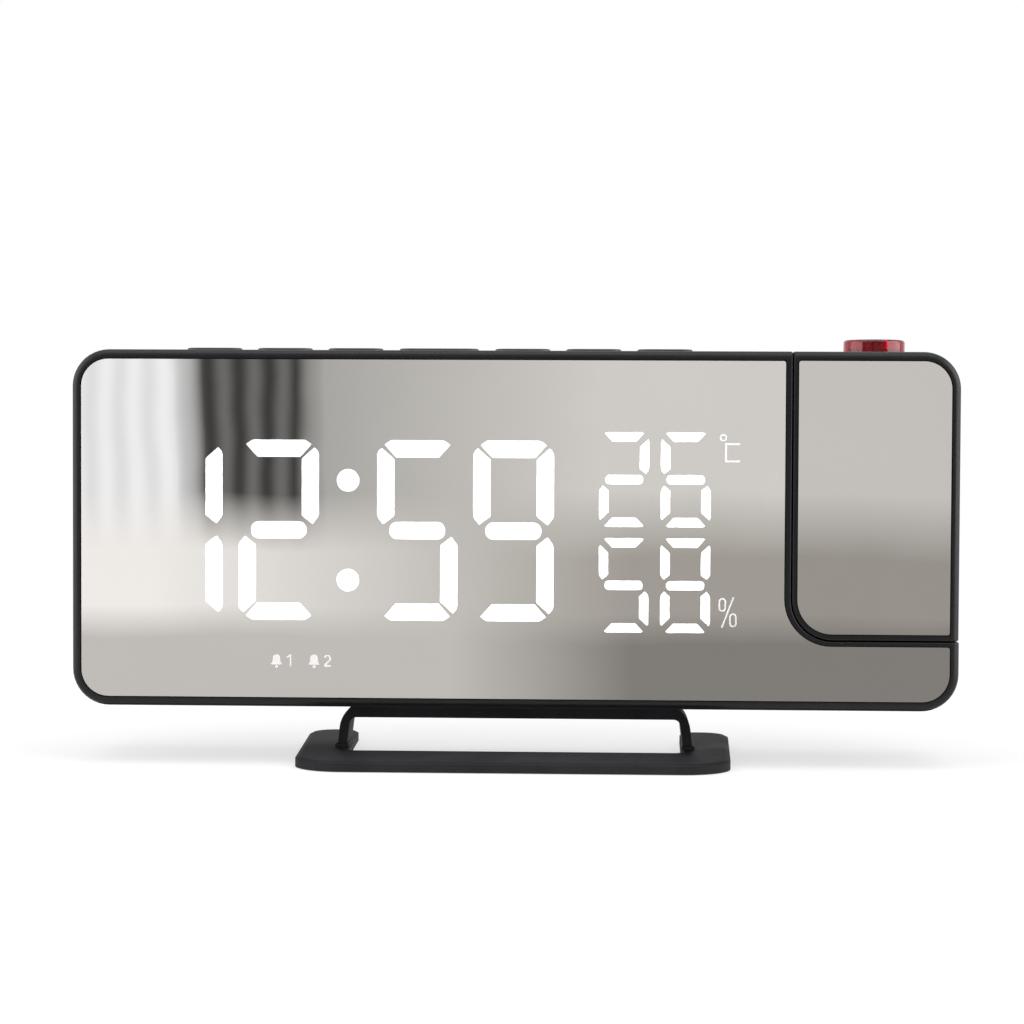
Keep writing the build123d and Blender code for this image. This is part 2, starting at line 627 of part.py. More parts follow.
def make_main_board():
    """Board behind the display, with a light-emitting chip in every window and the controller behind."""
    board = prism(rectangle(-84.0, 18.0, 48.0, 85.5, 1.5), "y", BOARD_FRONT, BOARD_BACK)
    save("main_board", board)
    time, climate = all_digits()
    chips = []
    for segments, _ in time + climate:
        for points in segments.values():
            x = sum(u for u, _, _ in points) / len(points)
            z = sum(v for _, v, _ in points) / len(points)
            chips.append(box(x - 0.6, BOARD_FRONT - 0.7, z - 0.4, x + 0.6, BOARD_FRONT, z + 0.4))
    for z in COLON_Z:
        chips.append(box(COLON_X - 0.8, BOARD_FRONT - 0.7, z - 0.4, COLON_X + 0.8, BOARD_FRONT, z + 0.4))
    save("display_leds", *chips)
    body = box(-36.0, BOARD_BACK + 0.1, 48.0, -26.0, BOARD_BACK + 1.5, 58.0)
    body = body.chamfer(0.3, None, [e for e in body.edges() if e.bounding_box().min.Y > BOARD_BACK + 1.4])
    legs = [box(-37.2 if side < 0 else -26.0, BOARD_BACK, 48.6 + 1.1 * i, -36.0 if side < 0 else -24.8,
                BOARD_BACK + 0.7, 49.0 + 1.1 * i)
            for side in (-1, 1) for i in range(9)]
    save("control_chip", fused(body, *legs))


# ---------------------------------------------------------------- keys and their switches

KEY_TRAVEL = 0.5
KEY_FLANGE_TOP = CASE_TOP - WALL - 0.1
SWITCH_TOP = 85.0
KEY_BOARD_Z = 79.4


def make_keys():
    """Seven push keys, each with a flange under the top wall, over its own switch."""
    for name, x, width in key_places():
        cap = prism(pill(x, 0, width, KEY_D), "z", SWITCH_TOP + KEY_TRAVEL + 0.15, CASE_TOP + KEY_PROUD)
        rim = [e for e in cap.edges() if e.bounding_box().min.Z > CASE_TOP + KEY_PROUD - 1e-3]
        cap = cap.fillet(0.45, rim)
        flange = prism(pill(x, 0, width + 2.0, KEY_D + 2.0), "z", KEY_FLANGE_TOP - 1.0, KEY_FLANGE_TOP)
        save(name, fused(cap, flange))


def make_key_board():
    """Narrow board under the keys with one tactile switch for each."""
    board = prism(rectangle(-76.0, -6.0, 41.5, 6.5, 1.0), "z", KEY_BOARD_Z, KEY_BOARD_Z + BOARD_T)
    save("key_board", board)
    switches = []
    for _, x, _ in key_places():
        body = box(x - 3, -3, KEY_BOARD_Z + BOARD_T, x + 3, 3, KEY_BOARD_Z + BOARD_T + 3.1)
        button = rod("z", x, 0, KEY_BOARD_Z + BOARD_T + 3, SWITCH_TOP, 1.7)
        switches.append(fused(body, button))
    save("tact_switches", *switches)


# ---------------------------------------------------------------- loudspeaker, ports, cell and sensor


def make_speaker():
    """Small loudspeaker that faces the rear grille: basket, paper cone and magnet."""
    back = BACK - WALL - 0.1
    x, z = SPEAKER
    shell = cut(cone("y", x, z, 5.2, back - 1.2, 9.4, 14.6), cone("y", x, z, 6.2, back - 1.1, 8.4, 14.0))
    flange = ring("y", x, z, back - 1.2, back, SPEAKER_R, 13.6)
    save("speaker_frame", fused(shell, flange))
    paper = cut(cone("y", x, z, 8.6, back - 1.4, 4.0, 13.4), cone("y", x, z, 9.1, back - 0.9, 4.0, 13.4))
    dome = rod("y", x, z, 8.6, 9.4, 4.4)
    save("speaker_cone", fused(paper, dome))
    save("speaker_magnet", rod("y", x, z, 0.4, 5.2, 9.0))


def make_ports():
    """Port board with the charging socket and the power inlet."""
    top = PORT_Z + BOARD_T
    board = prism(rectangle(PORT_BOARD[0], -6.5, PORT_BOARD[1], BACK - WALL - 0.2, 1.0), "z", PORT_Z, top)
    save("port_board", board)
    y1 = BACK - 0.3
    shell = prism(rectangle(USB_X - USB_W / 2, top, USB_X + USB_W / 2, top + USB_H, 0.6), "y", y1 - USB_L, y1)
    inside = rectangle(USB_X - 6.1, top + 0.45, USB_X + 6.1, top + USB_H - 0.45, 0.3)
    hollow = prism(inside, "y", y1 - 9.5, y1 + 1)
    tongue = box(USB_X - 5.6, y1 - 9.6, top + 3.1, USB_X + 5.6, y1 - 1.2, top + 4.8)
    save("usb_socket", fused(cut(shell, hollow), tongue))
    sleeve = prism(rectangle(POWER_X - POWER_W / 2, top, POWER_X + POWER_W / 2, top + POWER_H, 1.5), "y",
                   y1 - POWER_L, y1)
    inside = rectangle(POWER_X - 4.1, top + 0.35, POWER_X + 4.1, top + POWER_H - 0.35, 1.2)
    mouth = prism(inside, "y", y1 - 6.2, y1 + 1)
    blade = box(POWER_X - 3.3, y1 - 6.3, top + 1.25, POWER_X + 3.3, y1 - 0.8, top + 1.95)
    save("power_inlet", fused(cut(sleeve, mouth), blade))


def make_battery():
    """Coin cell that keeps the time, in its holder, behind a cover that turns to open."""
    x, z = CELL
    holder = cut(rod("y", x, z, 6.6, 13.2, COLLAR_R - SLACK), rod("y", x, z, 8.4, 14, 10.3))
    save("battery_holder", holder)
    contact = prism(rectangle(x - 7, z - 1.6, x + 7, z + 1.6, 1.5), "y", 8.45, 8.9)
    save("battery_contact", contact)
    cell = rod("y", x, z, 8.95, 12.15, 10.0)
    save("coin_cell", cell.fillet(0.4, cell.edges().filter_by(GeomType.CIRCLE)))
    disc = rod("y", x, z, BACK - COVER_T, BACK, COVER_R - SEAM / 2)
    disc = disc.fillet(0.3, [e for e in disc.edges() if e.bounding_box().min.Y > BACK - 1e-3])
    plug = rod("y", x, z, 13.3, BACK - COVER_T + 0.1, 11.6)
    lugs = [cover_lug(turn, 0, 13.4, BACK - WALL - 0.1) for turn in (0, pi)]
    slot = prism(rectangle(x - 8, z - 0.9, x + 8, z + 0.9, 0.85), "y", BACK - 1.1, BACK + 1)
    save("battery_cover", cut(fused(disc, plug, *lugs), slot))


def make_climate_sensor():
    """Temperature and humidity sensor on its small board, behind the vents."""
    board = box(-83.0, BACK - WALL - 4.6, 24.0, -71.0, BACK - WALL - 3.0, 34.0)
    bracket = box(-83.0, BACK - WALL - 3.0, 24.0, -81.0, BACK - WALL - 0.05, 34.0)
    save("climate_sensor", fused(board, box(-79.0, BACK - WALL - 3.0, 27.0, -75.0, BACK - WALL - 1.6, 31.0)))
    save("sensor_bracket", bracket)


# ---------------------------------------------------------------- tilt joint between case and head

BUSH_BACK = WALL_X - WALL - 1.2
CLIP_X = 54.8
SHAFT_END = 52.0
LEAD_R = 1.0
LEAD_MEET = SHAFT_END - 1.6
SOCKET_X = 41.0


def lead(points, radius):
    """Round lead along straight runs and one arc."""
    path = FilletPolyline(*points, radius=radius)
    section = Plane(path @ 0, z_dir=path % 0) * Circle(LEAD_R)
    return sweep(section, path=path)


def make_tilt_joint():
    """Hollow shaft of the head in the case's bush, with its washer, clip and the lamp's lead inside it."""
    bush = fused(rod("x", 0, PIVOT_Z, BUSH_BACK, WALL_X - WALL - SLACK, FLANGE_R),
                 rod("x", 0, PIVOT_Z, BUSH_BACK, WALL_X, SHAFT_R + 1.9))
    save("pivot_bush", cut(bush, rod("x", 0, PIVOT_Z, BUSH_BACK - 1, WALL_X + 1, SHAFT_R + SHAFT_PLAY)))
    inside = HEAD_X + WALL + SLACK
    shaft = fused(rod("x", 0, PIVOT_Z, SHAFT_END, inside + 0.1, SHAFT_R),
                  rod("x", 0, PIVOT_Z, inside, inside + 1.5, FLANGE_R))
    groove = ring("x", 0, PIVOT_Z, CLIP_X - 0.05, CLIP_X + 1.05, SHAFT_R + 1, SHAFT_R - 0.5)
    save("head_shaft", cut(shaft, groove, rod("x", 0, PIVOT_Z, SHAFT_END - 1, inside + 3, SHAFT_BORE_R)))
    clip = ring("x", 0, PIVOT_Z, CLIP_X, CLIP_X + 1.0, 7.4, SHAFT_R - 0.45)
    save("shaft_clip", cut(clip, box(CLIP_X - 1, -2.6, PIVOT_Z - 9, CLIP_X + 2, 2.6, PIVOT_Z)))
    save("friction_washer", ring("x", 0, PIVOT_Z, CLIP_X + 1.1, BUSH_BACK - 0.05, 8.2, SHAFT_R + 0.2))
    fixed = lead([(LEAD_MEET, 0, PIVOT_Z), (SOCKET_X, 0, PIVOT_Z), (SOCKET_X, BOARD_BACK + 4, PIVOT_Z)], 2.0)
    save("board_lead", fixed)
    socket = box(SOCKET_X - 3, BOARD_BACK, PIVOT_Z - 3, SOCKET_X + 3, BOARD_BACK + 4, PIVOT_Z + 3)
    save("lead_socket", socket)
    lamp_end = (67.4, 0, LAMP_BOARD_Z + BOARD_T)
    save("projector_lead", lead([(LEAD_MEET + 0.2, 0, PIVOT_Z), (67.4, 0, PIVOT_Z), lamp_end], 5.0))


# ---------------------------------------------------------------- projector head

LAMP_BOARD_Z = 44.0
TUBE_R = 8.6
TUBE_TOP = 74.0
NECK_R = 5.7
NECK_TOP = 89.4
BARREL_R = 4.7
BARREL_L = 10.4
FOCUS_TRAVEL = 2.5
BARREL_TOP = NECK_TOP - FOCUS_TRAVEL - 0.5     # the barrel rises by the travel and stays inside the neck
BARREL_Z = BARREL_TOP - BARREL_L
COLLAR_Z = 84.5


def make_head_shells(form):
    """Bezel and rear shell of the head, with the walls, lip, posts and openings."""
    frame = slice_y(form, FRONT - 1, SPLIT)
    pocket = prism(head_points(RIM - HEAD_INSET / 2, HEAD_RIM, HEAD_LOW_RIM), "y", FRONT - 2, MIRROR_BACK)
    window = prism(head_points(RIM + LIP_W, HEAD_RIM + LIP_W, HEAD_LOW_RIM + LIP_W), "y", FRONT, LIP_BACK)
    room = prism(head_points(WALL, WALL, WALL), "y", LIP_BACK, SPLIT + 1)
    joint = parting_groove(-BEYOND, HEAD_RIGHT - 0.25)
    solids, holes = posts(HEAD_SCREWS, [HEAD_X + WALL / 2, HEAD_RIGHT - WALL / 2])
    save("head_bezel", cut(fused(cut(frame, pocket, window, room, joint), *solids), *holes))

    shell = slice_y(form, SPLIT, BACK + 1)
    left, low = HEAD_X + WALL, HEAD_Z + WALL
    upright, swept, above = head_room(left, low, NOTCH_R - SEAM - WALL, BACK - WALL)
    hollow = prism(head_points(WALL, WALL, WALL), "y", SPLIT - 1, BACK - WALL) & fused(upright, swept, above)
    shell = cut(shell, *hollow.solids())
    solids, holes = columns(HEAD_SCREWS)
    for y in (-5.0, 5.0):
        solids.append(box(HEAD_RIGHT - WALL - 4, y - 1, LAMP_BOARD_Z - 2.2, HEAD_RIGHT - 1, y + 1,
                          LAMP_BOARD_Z - 0.05))
    holes.append(rod("x", 0, PIVOT_Z, HEAD_X - 1, HEAD_X + WALL + 1, SHAFT_R + SHAFT_PLAY))
    holes.append(rod("z", OPTICS_X, 0, CASE_TOP - WALL - 1, CASE_TOP + 1, CAP_R + 0.2))
    for i in range(5):
        slot = rectangle(70.0, 48.0 + 4.0 * i, 86.0, 49.6 + 4.0 * i, 0.75)
        holes.append(prism(slot, "y", BACK - WALL - 1, BACK + 1))
    save("head_rear_shell", cut(fused(shell, *solids), *holes))
    save("head_screws", *[pan_screw(x, z) for x, z in HEAD_SCREWS])


def make_head_mirror():
    """Mirror sheet on the head's face."""
    points = head_points(RIM - HEAD_INSET / 2 + SLACK, HEAD_RIM + SLACK, HEAD_LOW_RIM + SLACK)
    sheet = prism(points, "y", MIRROR_FRONT, MIRROR_BACK)
    front_edges = [e for e in sheet.edges() if e.bounding_box().max.Y < MIRROR_FRONT + 1e-3]
    save("head_mirror", sheet.chamfer(0.15, None, front_edges))


def make_lamp():
    """Projector lamp on its board and heat sink."""
    top = LAMP_BOARD_Z + BOARD_T
    save("lamp_board", prism(rectangle(65.4, -8.0, 93.6, 8.0, 1.0), "z", LAMP_BOARD_Z, top))
    package = box(OPTICS_X - 1.8, -1.8, top, OPTICS_X + 1.8, 1.8, top + 0.8)
    save("lamp_led", fused(package, cone("z", OPTICS_X, 0, top + 0.8, top + 2.0, 1.5, 0.7)))
    base = box(OPTICS_X - 6.5, -7, LAMP_BOARD_Z - 1.6, OPTICS_X + 6.5, 7, LAMP_BOARD_Z)
    fins = [box(x, -7, LAMP_BOARD_Z - 8, x + 1, 7, LAMP_BOARD_Z - 1.6)
            for x in (OPTICS_X - 6.5 + 3.0 * i for i in range(5))]
    save("heat_sink", fused(base, *fins))


def make_optics():
    """Light path of the projector: tube, condenser, image panel, sliding lens barrel and focus cap."""
    x, floor = OPTICS_X, LAMP_BOARD_Z + BOARD_T
    profile = [
        (5.0, floor), (TUBE_R, floor), (TUBE_R, TUBE_TOP), (NECK_R, TUBE_TOP), (NECK_R, COLLAR_Z - 2),
        (7.3, COLLAR_Z - 2), (7.3, COLLAR_Z), (NECK_R, COLLAR_Z), (NECK_R, NECK_TOP),
        (BARREL_R + SHAFT_PLAY, NECK_TOP), (BARREL_R + SHAFT_PLAY, TUBE_TOP - 1.5), (7.4, TUBE_TOP - 1.5),
        (7.4, 64.4), (6.4, 64.4), (6.4, 62.6), (7.4, 62.6), (7.4, 57.0), (6.6, 57.0), (6.6, 55.0),
        (5.0, 52.0),
    ]
    save("optics_tube", lathe(profile, x, 0))
    save("condenser_lens", lens(x, 0, 57.05, 7.3, 1.2, 0, 3.2))
    save("image_panel", cut(rod("z", x, 0, 64.45, 65.85, 7.3), box(x - 4, -3, 64, x + 4, 3, 64.9)))
    barrel = ring("z", x, 0, BARREL_Z, BARREL_TOP, BARREL_R, 3.6)
    upper_seat = rod("z", x, 0, BARREL_TOP - 4.2, BARREL_TOP + 1, 4.1)
    lower_seat = rod("z", x, 0, BARREL_Z - 1, BARREL_Z + 3.0, 4.1)
    save("lens_barrel", cut(barrel, upper_seat, lower_seat))
    save("focus_lens", lens(x, 0, BARREL_TOP - 3.3, 4.05, 1.2, 0.7, 1.1),
         lens(x, 0, BARREL_Z + 1.1, 4.05, 1.2, 0.5, 0.5))
    cap_profile = [
        (NECK_R + 0.1, COLLAR_Z + 0.1), (7.5, COLLAR_Z + 0.1), (7.5, COLLAR_Z + 2.4), (CAP_R, COLLAR_Z + 2.4),
        (CAP_R, CAP_TOP), (2.7, CAP_TOP), (2.7, CAP_TOP - 2.0), (NECK_R + 0.1, CAP_TOP - 2.0),
    ]
    cap = lathe(cap_profile, x, 0)
    rim = [e for e in cap.edges() if e.bounding_box().min.Z > CAP_TOP - 1e-3 and e.length > 2 * pi * 4]
    save("focus_cap", cap.fillet(0.7, rim))


# ---------------------------------------------------------------- stand

FLANGE_TOP = FOOT_TOP + 0.9
LEG_PILOT_TOP = FOOT_TOP + 3.2
PAD_R = 3.6
PADS = [(-38.0, -21.5), (38.0, -21.5), (-42.8, 22.0), (42.8, 22.0)]
LEG_SCREWS = [(38.3, -2.0), (38.3, 5.4)]
LEG_SCREW_R = 0.55


def make_stand_arch():
    """Bent strap that carries the case, with a small foot flange on each leg."""
    out, top = ARCH_W / 2, ARCH_TOP_W / 2
    points = [
        (-out, FOOT_TOP, 0), (ARCH_T - out, FOOT_TOP, 0), (ARCH_T - top - 0.2, ARCH_BAR_Z, 1.6),
        (top - ARCH_T + 0.2, ARCH_BAR_Z, 1.6), (out - ARCH_T, FOOT_TOP, 0), (out, FOOT_TOP, 0),
        (top, CASE_BOTTOM, 6.5), (-top, CASE_BOTTOM, 6.5),
    ]
    strap = prism(points, "y", ARCH_FRONT, ARCH_BACK)
    flange = prism(rectangle(out - ARCH_T - 0.5, ARCH_FRONT - 0.5, out + 0.6, ARCH_BACK + 0.5, 0.8), "z",
                   FOOT_TOP, FLANGE_TOP)
    flange = flange.fillet(0.6, [e for e in flange.edges() if e.bounding_box().min.Z > FLANGE_TOP - 1e-3])
    holes = []
    for side in (-1, 1):
        x = side * STAND_SCREW_X
        holes.append(rod("z", x, 0.3, ARCH_BAR_Z - 1, CASE_BOTTOM + 1, SCREW_R + 0.2))
        holes.append(rod("z", x, 0.3, ARCH_BAR_Z - 1, ARCH_BAR_Z + 2.0, SCREW_HEAD_R + 0.2))
        holes += [rod("z", side * u, y, FOOT_TOP - 1, LEG_PILOT_TOP, LEG_SCREW_R + SLACK)
                  for u, y in LEG_SCREWS]
    save("stand_arch", cut(fused(strap, flange, mirrored(flange)), *holes))


def make_stand_base():
    """Flat U-shaped foot plate, open to the rear, with pockets for the pads and screw holes."""
    front, rear, depth = FOOT_W / 2, FOOT_REAR_W / 2, FOOT_D / 2
    gap, gap_rear = FOOT_GAP_W / 2, FOOT_GAP_REAR_W / 2
    bar = FOOT_BAR_D - depth
    points = [
        (-front, -depth, 10.5), (front, -depth, 10.5), (rear, depth, 6.0), (gap_rear, depth, 3.6),
        (gap, bar, 2.0), (-gap, bar, 2.0), (-gap_rear, depth, 3.6), (-rear, depth, 6.0),
    ]
    plate = prism(points, "z", FOOT_LIFT, FOOT_TOP)
    top = plate.faces().sort_by(Axis.Z)[-1]
    plate = plate.chamfer(FOOT_BEVEL, FOOT_BEVEL / 2, top.edges(), top)
    plate = plate.fillet(0.3, plate.faces().sort_by(Axis.Z)[-1].edges())
    holes = [rod("z", x, y, FOOT_LIFT - 1, FOOT_LIFT + 0.5, PAD_R + SLACK) for x, y in PADS]
    for side in (-1, 1):
        for x, y in LEG_SCREWS:
            holes.append(rod("z", side * x, y, FOOT_LIFT - 1, FOOT_TOP + 1, LEG_SCREW_R + 0.15))
            holes.append(rod("z", side * x, y, FOOT_LIFT - 1, FOOT_LIFT + 0.9, 1.4))
    save("stand_base", cut(plate, *holes))
    pads = []
    for x, y in PADS:
        pad = rod("z", x, y, 0, FOOT_LIFT + 0.5, PAD_R)
        pads.append(pad.chamfer(0.2, None, [e for e in pad.edges() if e.bounding_box().max.Z < 1e-3]))
    save("foot_pads", *pads)


def make_stand_screws():
    """Screws that hold the arch to the case and the foot plate to the arch."""
    screws = []
    for side in (-1, 1):
        x = side * STAND_SCREW_X
        head = rod("z", x, 0.3, ARCH_BAR_Z + 0.3, ARCH_BAR_Z + 2.0, SCREW_HEAD_R)
        shank = rod("z", x, 0.3, ARCH_BAR_Z + 1.9, CASE_BOTTOM + 7.4, SCREW_R)
        screw = cut(fused(head, shank), box(x - 1.6, 0, ARCH_BAR_Z, x + 1.6, 0.6, ARCH_BAR_Z + 1.1),
                    box(x - 0.3, -1.3, ARCH_BAR_Z, x + 0.3, 1.9, ARCH_BAR_Z + 1.1))
        screws.append(screw)
        for leg_x, y in LEG_SCREWS:
            head = rod("z", side * leg_x, y, FOOT_LIFT + 0.1, FOOT_LIFT + 0.9, 1.3)
            shank = rod("z", side * leg_x, y, FOOT_LIFT + 0.8, LEG_PILOT_TOP - 0.2, LEG_SCREW_R)
            screws.append(fused(head, shank))
    save("stand_screws", *screws)


# ---------------------------------------------------------------- everything

case = case_form()
head = head_form()
make_front_bezel(case)
make_mirror_panel()
make_rear_shell(case)
make_case_screws()
make_display()
make_main_board()
make_keys()
make_key_board()
make_speaker()
make_ports()
make_battery()
make_climate_sensor()
make_tilt_joint()
make_head_shells(head)
make_head_mirror()
make_lamp()
make_optics()
make_stand_arch()
make_stand_base()
make_stand_screws()
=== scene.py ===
"""Looks of a mirror-faced projection alarm clock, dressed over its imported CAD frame.

Lengths are in metres in the CAD's own frame: X to the right, Y to the back, Z up, table at Z = 0.
"""

from __future__ import annotations

import json
import logging
import math
from abc import ABC, abstractmethod
from dataclasses import dataclass, field
from enum import Enum
from typing import Callable, Iterable, Mapping, Sequence, Union

import bpy
from mathutils import Matrix, Vector

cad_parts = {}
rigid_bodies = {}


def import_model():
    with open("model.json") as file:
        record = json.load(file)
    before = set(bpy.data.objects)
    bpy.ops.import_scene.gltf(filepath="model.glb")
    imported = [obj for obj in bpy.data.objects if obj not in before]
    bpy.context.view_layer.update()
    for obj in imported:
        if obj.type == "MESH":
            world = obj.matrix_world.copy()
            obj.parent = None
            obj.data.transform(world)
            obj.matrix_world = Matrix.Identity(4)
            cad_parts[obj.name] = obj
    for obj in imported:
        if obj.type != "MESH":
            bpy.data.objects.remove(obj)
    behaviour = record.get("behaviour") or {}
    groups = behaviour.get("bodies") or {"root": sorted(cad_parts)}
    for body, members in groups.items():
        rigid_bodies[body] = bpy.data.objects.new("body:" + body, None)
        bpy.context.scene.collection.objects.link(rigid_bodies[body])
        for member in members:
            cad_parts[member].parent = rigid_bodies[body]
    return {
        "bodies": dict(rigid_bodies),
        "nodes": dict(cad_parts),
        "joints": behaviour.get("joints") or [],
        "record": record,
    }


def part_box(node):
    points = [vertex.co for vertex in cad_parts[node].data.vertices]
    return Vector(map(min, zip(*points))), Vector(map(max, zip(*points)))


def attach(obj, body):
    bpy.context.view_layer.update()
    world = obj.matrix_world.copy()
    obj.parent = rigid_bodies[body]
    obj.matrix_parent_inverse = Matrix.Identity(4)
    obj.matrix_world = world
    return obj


Colour = tuple[float, float, float]
Place = tuple[float, float, float]
Span = tuple[float, float]
Piece = bpy.types.Object
Socket = bpy.types.NodeSocket
Value = Union[float, Sequence[float], Socket]
Inputs = Mapping[Union[str, int], Value]

LOG = logging.getLogger("clock")

MM = 0.001
MERGE = 1e-6  # corners closer than this are one
ALIGNED = 0.9  # cosine from which a direction counts as along an axis
ORIGIN: Place = (0.0, 0.0, 0.0)

IOR_PLASTIC = 1.49
IOR_GLASS = 1.52
WHITE: Colour = (1.0, 1.0, 1.0)
DUST: Colour = (0.42, 0.41, 0.4)
SOLDER: Colour = (0.62, 0.62, 0.6)
SAWN_EDGE: Colour = (0.02, 0.022, 0.022)


def shade(colour: Colour, share: float) -> Colour:
    """Scale a colour."""
    return (colour[0] * share, colour[1] * share, colour[2] * share)


# ---------------------------------------------------------------- shader wiring


class Wiring:
    """Adds and links the nodes of one node tree. Colours are given without alpha."""

    def __init__(self, tree: bpy.types.NodeTree) -> None:
        """Start on a node tree."""
        self.tree = tree

    @classmethod
    def start(cls, owner: Union[bpy.types.Material, bpy.types.World]) -> Wiring:
        """Empty the nodes of a material or world.

        Args:
            owner: The material or world.

        Returns:
            The wiring of its tree.
        """
        owner.use_nodes = True
        owner.node_tree.nodes.clear()
        return cls(owner.node_tree)

    def feed(self, node: bpy.types.Node, inputs: Inputs) -> None:
        """Link sockets to a node's inputs, and set plain values on them.

        Args:
            node: The node.
            inputs: Sockets or values, by name or place of the input.
        """
        for name, value in inputs.items():
            socket = node.inputs[name]
            if isinstance(value, Socket):
                self.tree.links.new(value, socket)
            elif socket.type == "RGBA":
                socket.default_value = (*value, 1.0)
            else:
                socket.default_value = value

    def add(self, kind: str, inputs: Inputs | None = None, **settings: object) -> bpy.types.Node:
        """Add one node.

        Args:
            kind: Blender's name of the node type.
            inputs: Sockets or values, by name or place of the input.
            **settings: Values of the node's own properties.

        Returns:
            The new node.
        """
        made = self.tree.nodes.new(kind)
        for name, value in settings.items():
            setattr(made, name, value)
        self.feed(made, inputs or {})
        return made

    def math(self, operation: str, first: Value, second: Value = 0.0) -> Socket:
        """Combine two numbers by Blender's name of the operation."""
        return self.add("ShaderNodeMath", {0: first, 1: second}, operation=operation).outputs[0]

    def plus(self, first: Value, second: Value) -> Socket:
        """Sum of two numbers."""
        return self.math("ADD", first, second)

    def times(self, first: Value, second: Value) -> Socket:
        """Product of two numbers."""
        return self.math("MULTIPLY", first, second)

    def spread(
        self, value: Value, low: float, high: float, to_low: float = 0.0, to_high: float = 1.0
    ) -> Socket:
        """Move a number from one range to another, and hold it inside the new one."""
        inputs = {0: value, 1: low, 2: high, 3: to_low, 4: to_high}
        return self.add("ShaderNodeMapRange", inputs, clamp=True).outputs[0]

    def blend(self, factor: Value, first: Value, second: Value) -> Socket:
        """Mix two colours, from the first at factor 0 to the second at factor 1."""
        return self.add("ShaderNodeMix", {0: factor, 6: first, 7: second}, data_type="RGBA").outputs[2]

    def fade(self, value: Value, span: Span, first: Value, second: Value) -> Socket:
        """Mix from one colour to another while a number crosses a span."""
        return self.blend(self.spread(value, *span), first, second)

    def place(self) -> Socket:
        """Position on the piece, in its own coordinates."""
        return self.add("ShaderNodeTexCoord").outputs["Object"]

    def split(self, vector: Value) -> tuple[Socket, Socket, Socket]:
        """X, Y and Z of a vector."""
        parts = self.add("ShaderNodeSeparateXYZ", {0: vector}).outputs
        return parts["X"], parts["Y"], parts["Z"]

    def stretch(self, vector: Value, scale: Place, turn: Place = ORIGIN) -> Socket:
        """Turn a pattern's coordinates by three angles and scale them."""
        return self.add("ShaderNodeMapping", {"Vector": vector, "Rotation": turn, "Scale": scale}).outputs[0]

    def noise(self, vector: Value, scale: Value, detail: float, **more: float) -> Socket:
        """Cloudy noise, about 0.5 on average, with its blotches in a metre as scale and octaves as detail."""
        inputs = {"Vector": vector, "Scale": scale, "Detail": detail, **more}
        return self.add("ShaderNodeTexNoise", inputs).outputs[0]

    def cells(self, vector: Value, scale: Value, scatter: float = 1.0, metric: str = "EUCLIDEAN") -> Socket:
        """Distance to the nearest of scale points in a metre, which scatter (0 to 1) moves off a grid."""
        inputs = {"Vector": vector, "Scale": scale, "Randomness": scatter}
        return self.add("ShaderNodeTexVoronoi", inputs, distance=metric).outputs["Distance"]

    def bump(self, height: Socket, depth_mm: float, strength: float = 1.0) -> Socket:
        """Turn a height of about 0 to 1 into a normal, where a height of 1 is depth_mm deep."""
        inputs = {"Height": height, "Distance": depth_mm * MM, "Strength": strength}
        return self.add("ShaderNodeBump", inputs).outputs[0]

    def glow(self, colour: Value, strength: Value = 1.0) -> Socket:
        """Shader that gives off light, where a white of strength 1 is plain white."""
        return self.add("ShaderNodeEmission", {"Color": colour, "Strength": strength}).outputs[0]

    def mix(self, factor: Value, first: Socket, second: Socket) -> Socket:
        """Mix two shaders, from the first at factor 0 to the second at factor 1."""
        return self.add("ShaderNodeMixShader", {0: factor, 1: first, 2: second}).outputs[0]


class Effect(Enum):
    """Effects that several finishes share, each a node group: its name, its number input and its outputs."""

    GRAIN = ("moulded_grain", "Scale", ("Height", "Mask"))
    MARKS = ("handling_marks", "Scale", ("Smudge", "Scuff"))
    BRUSHED = ("brushed_lines", "Scale", ("Height", "Mask"))
    WOVEN = ("woven_threads", "Threads", ("Height", "Mask"))
    TRACKS = ("board_tracks", "Scale", ("Tracks", "Joints"))
    DUST = ("settled_dust", "Amount", ("Mask",))


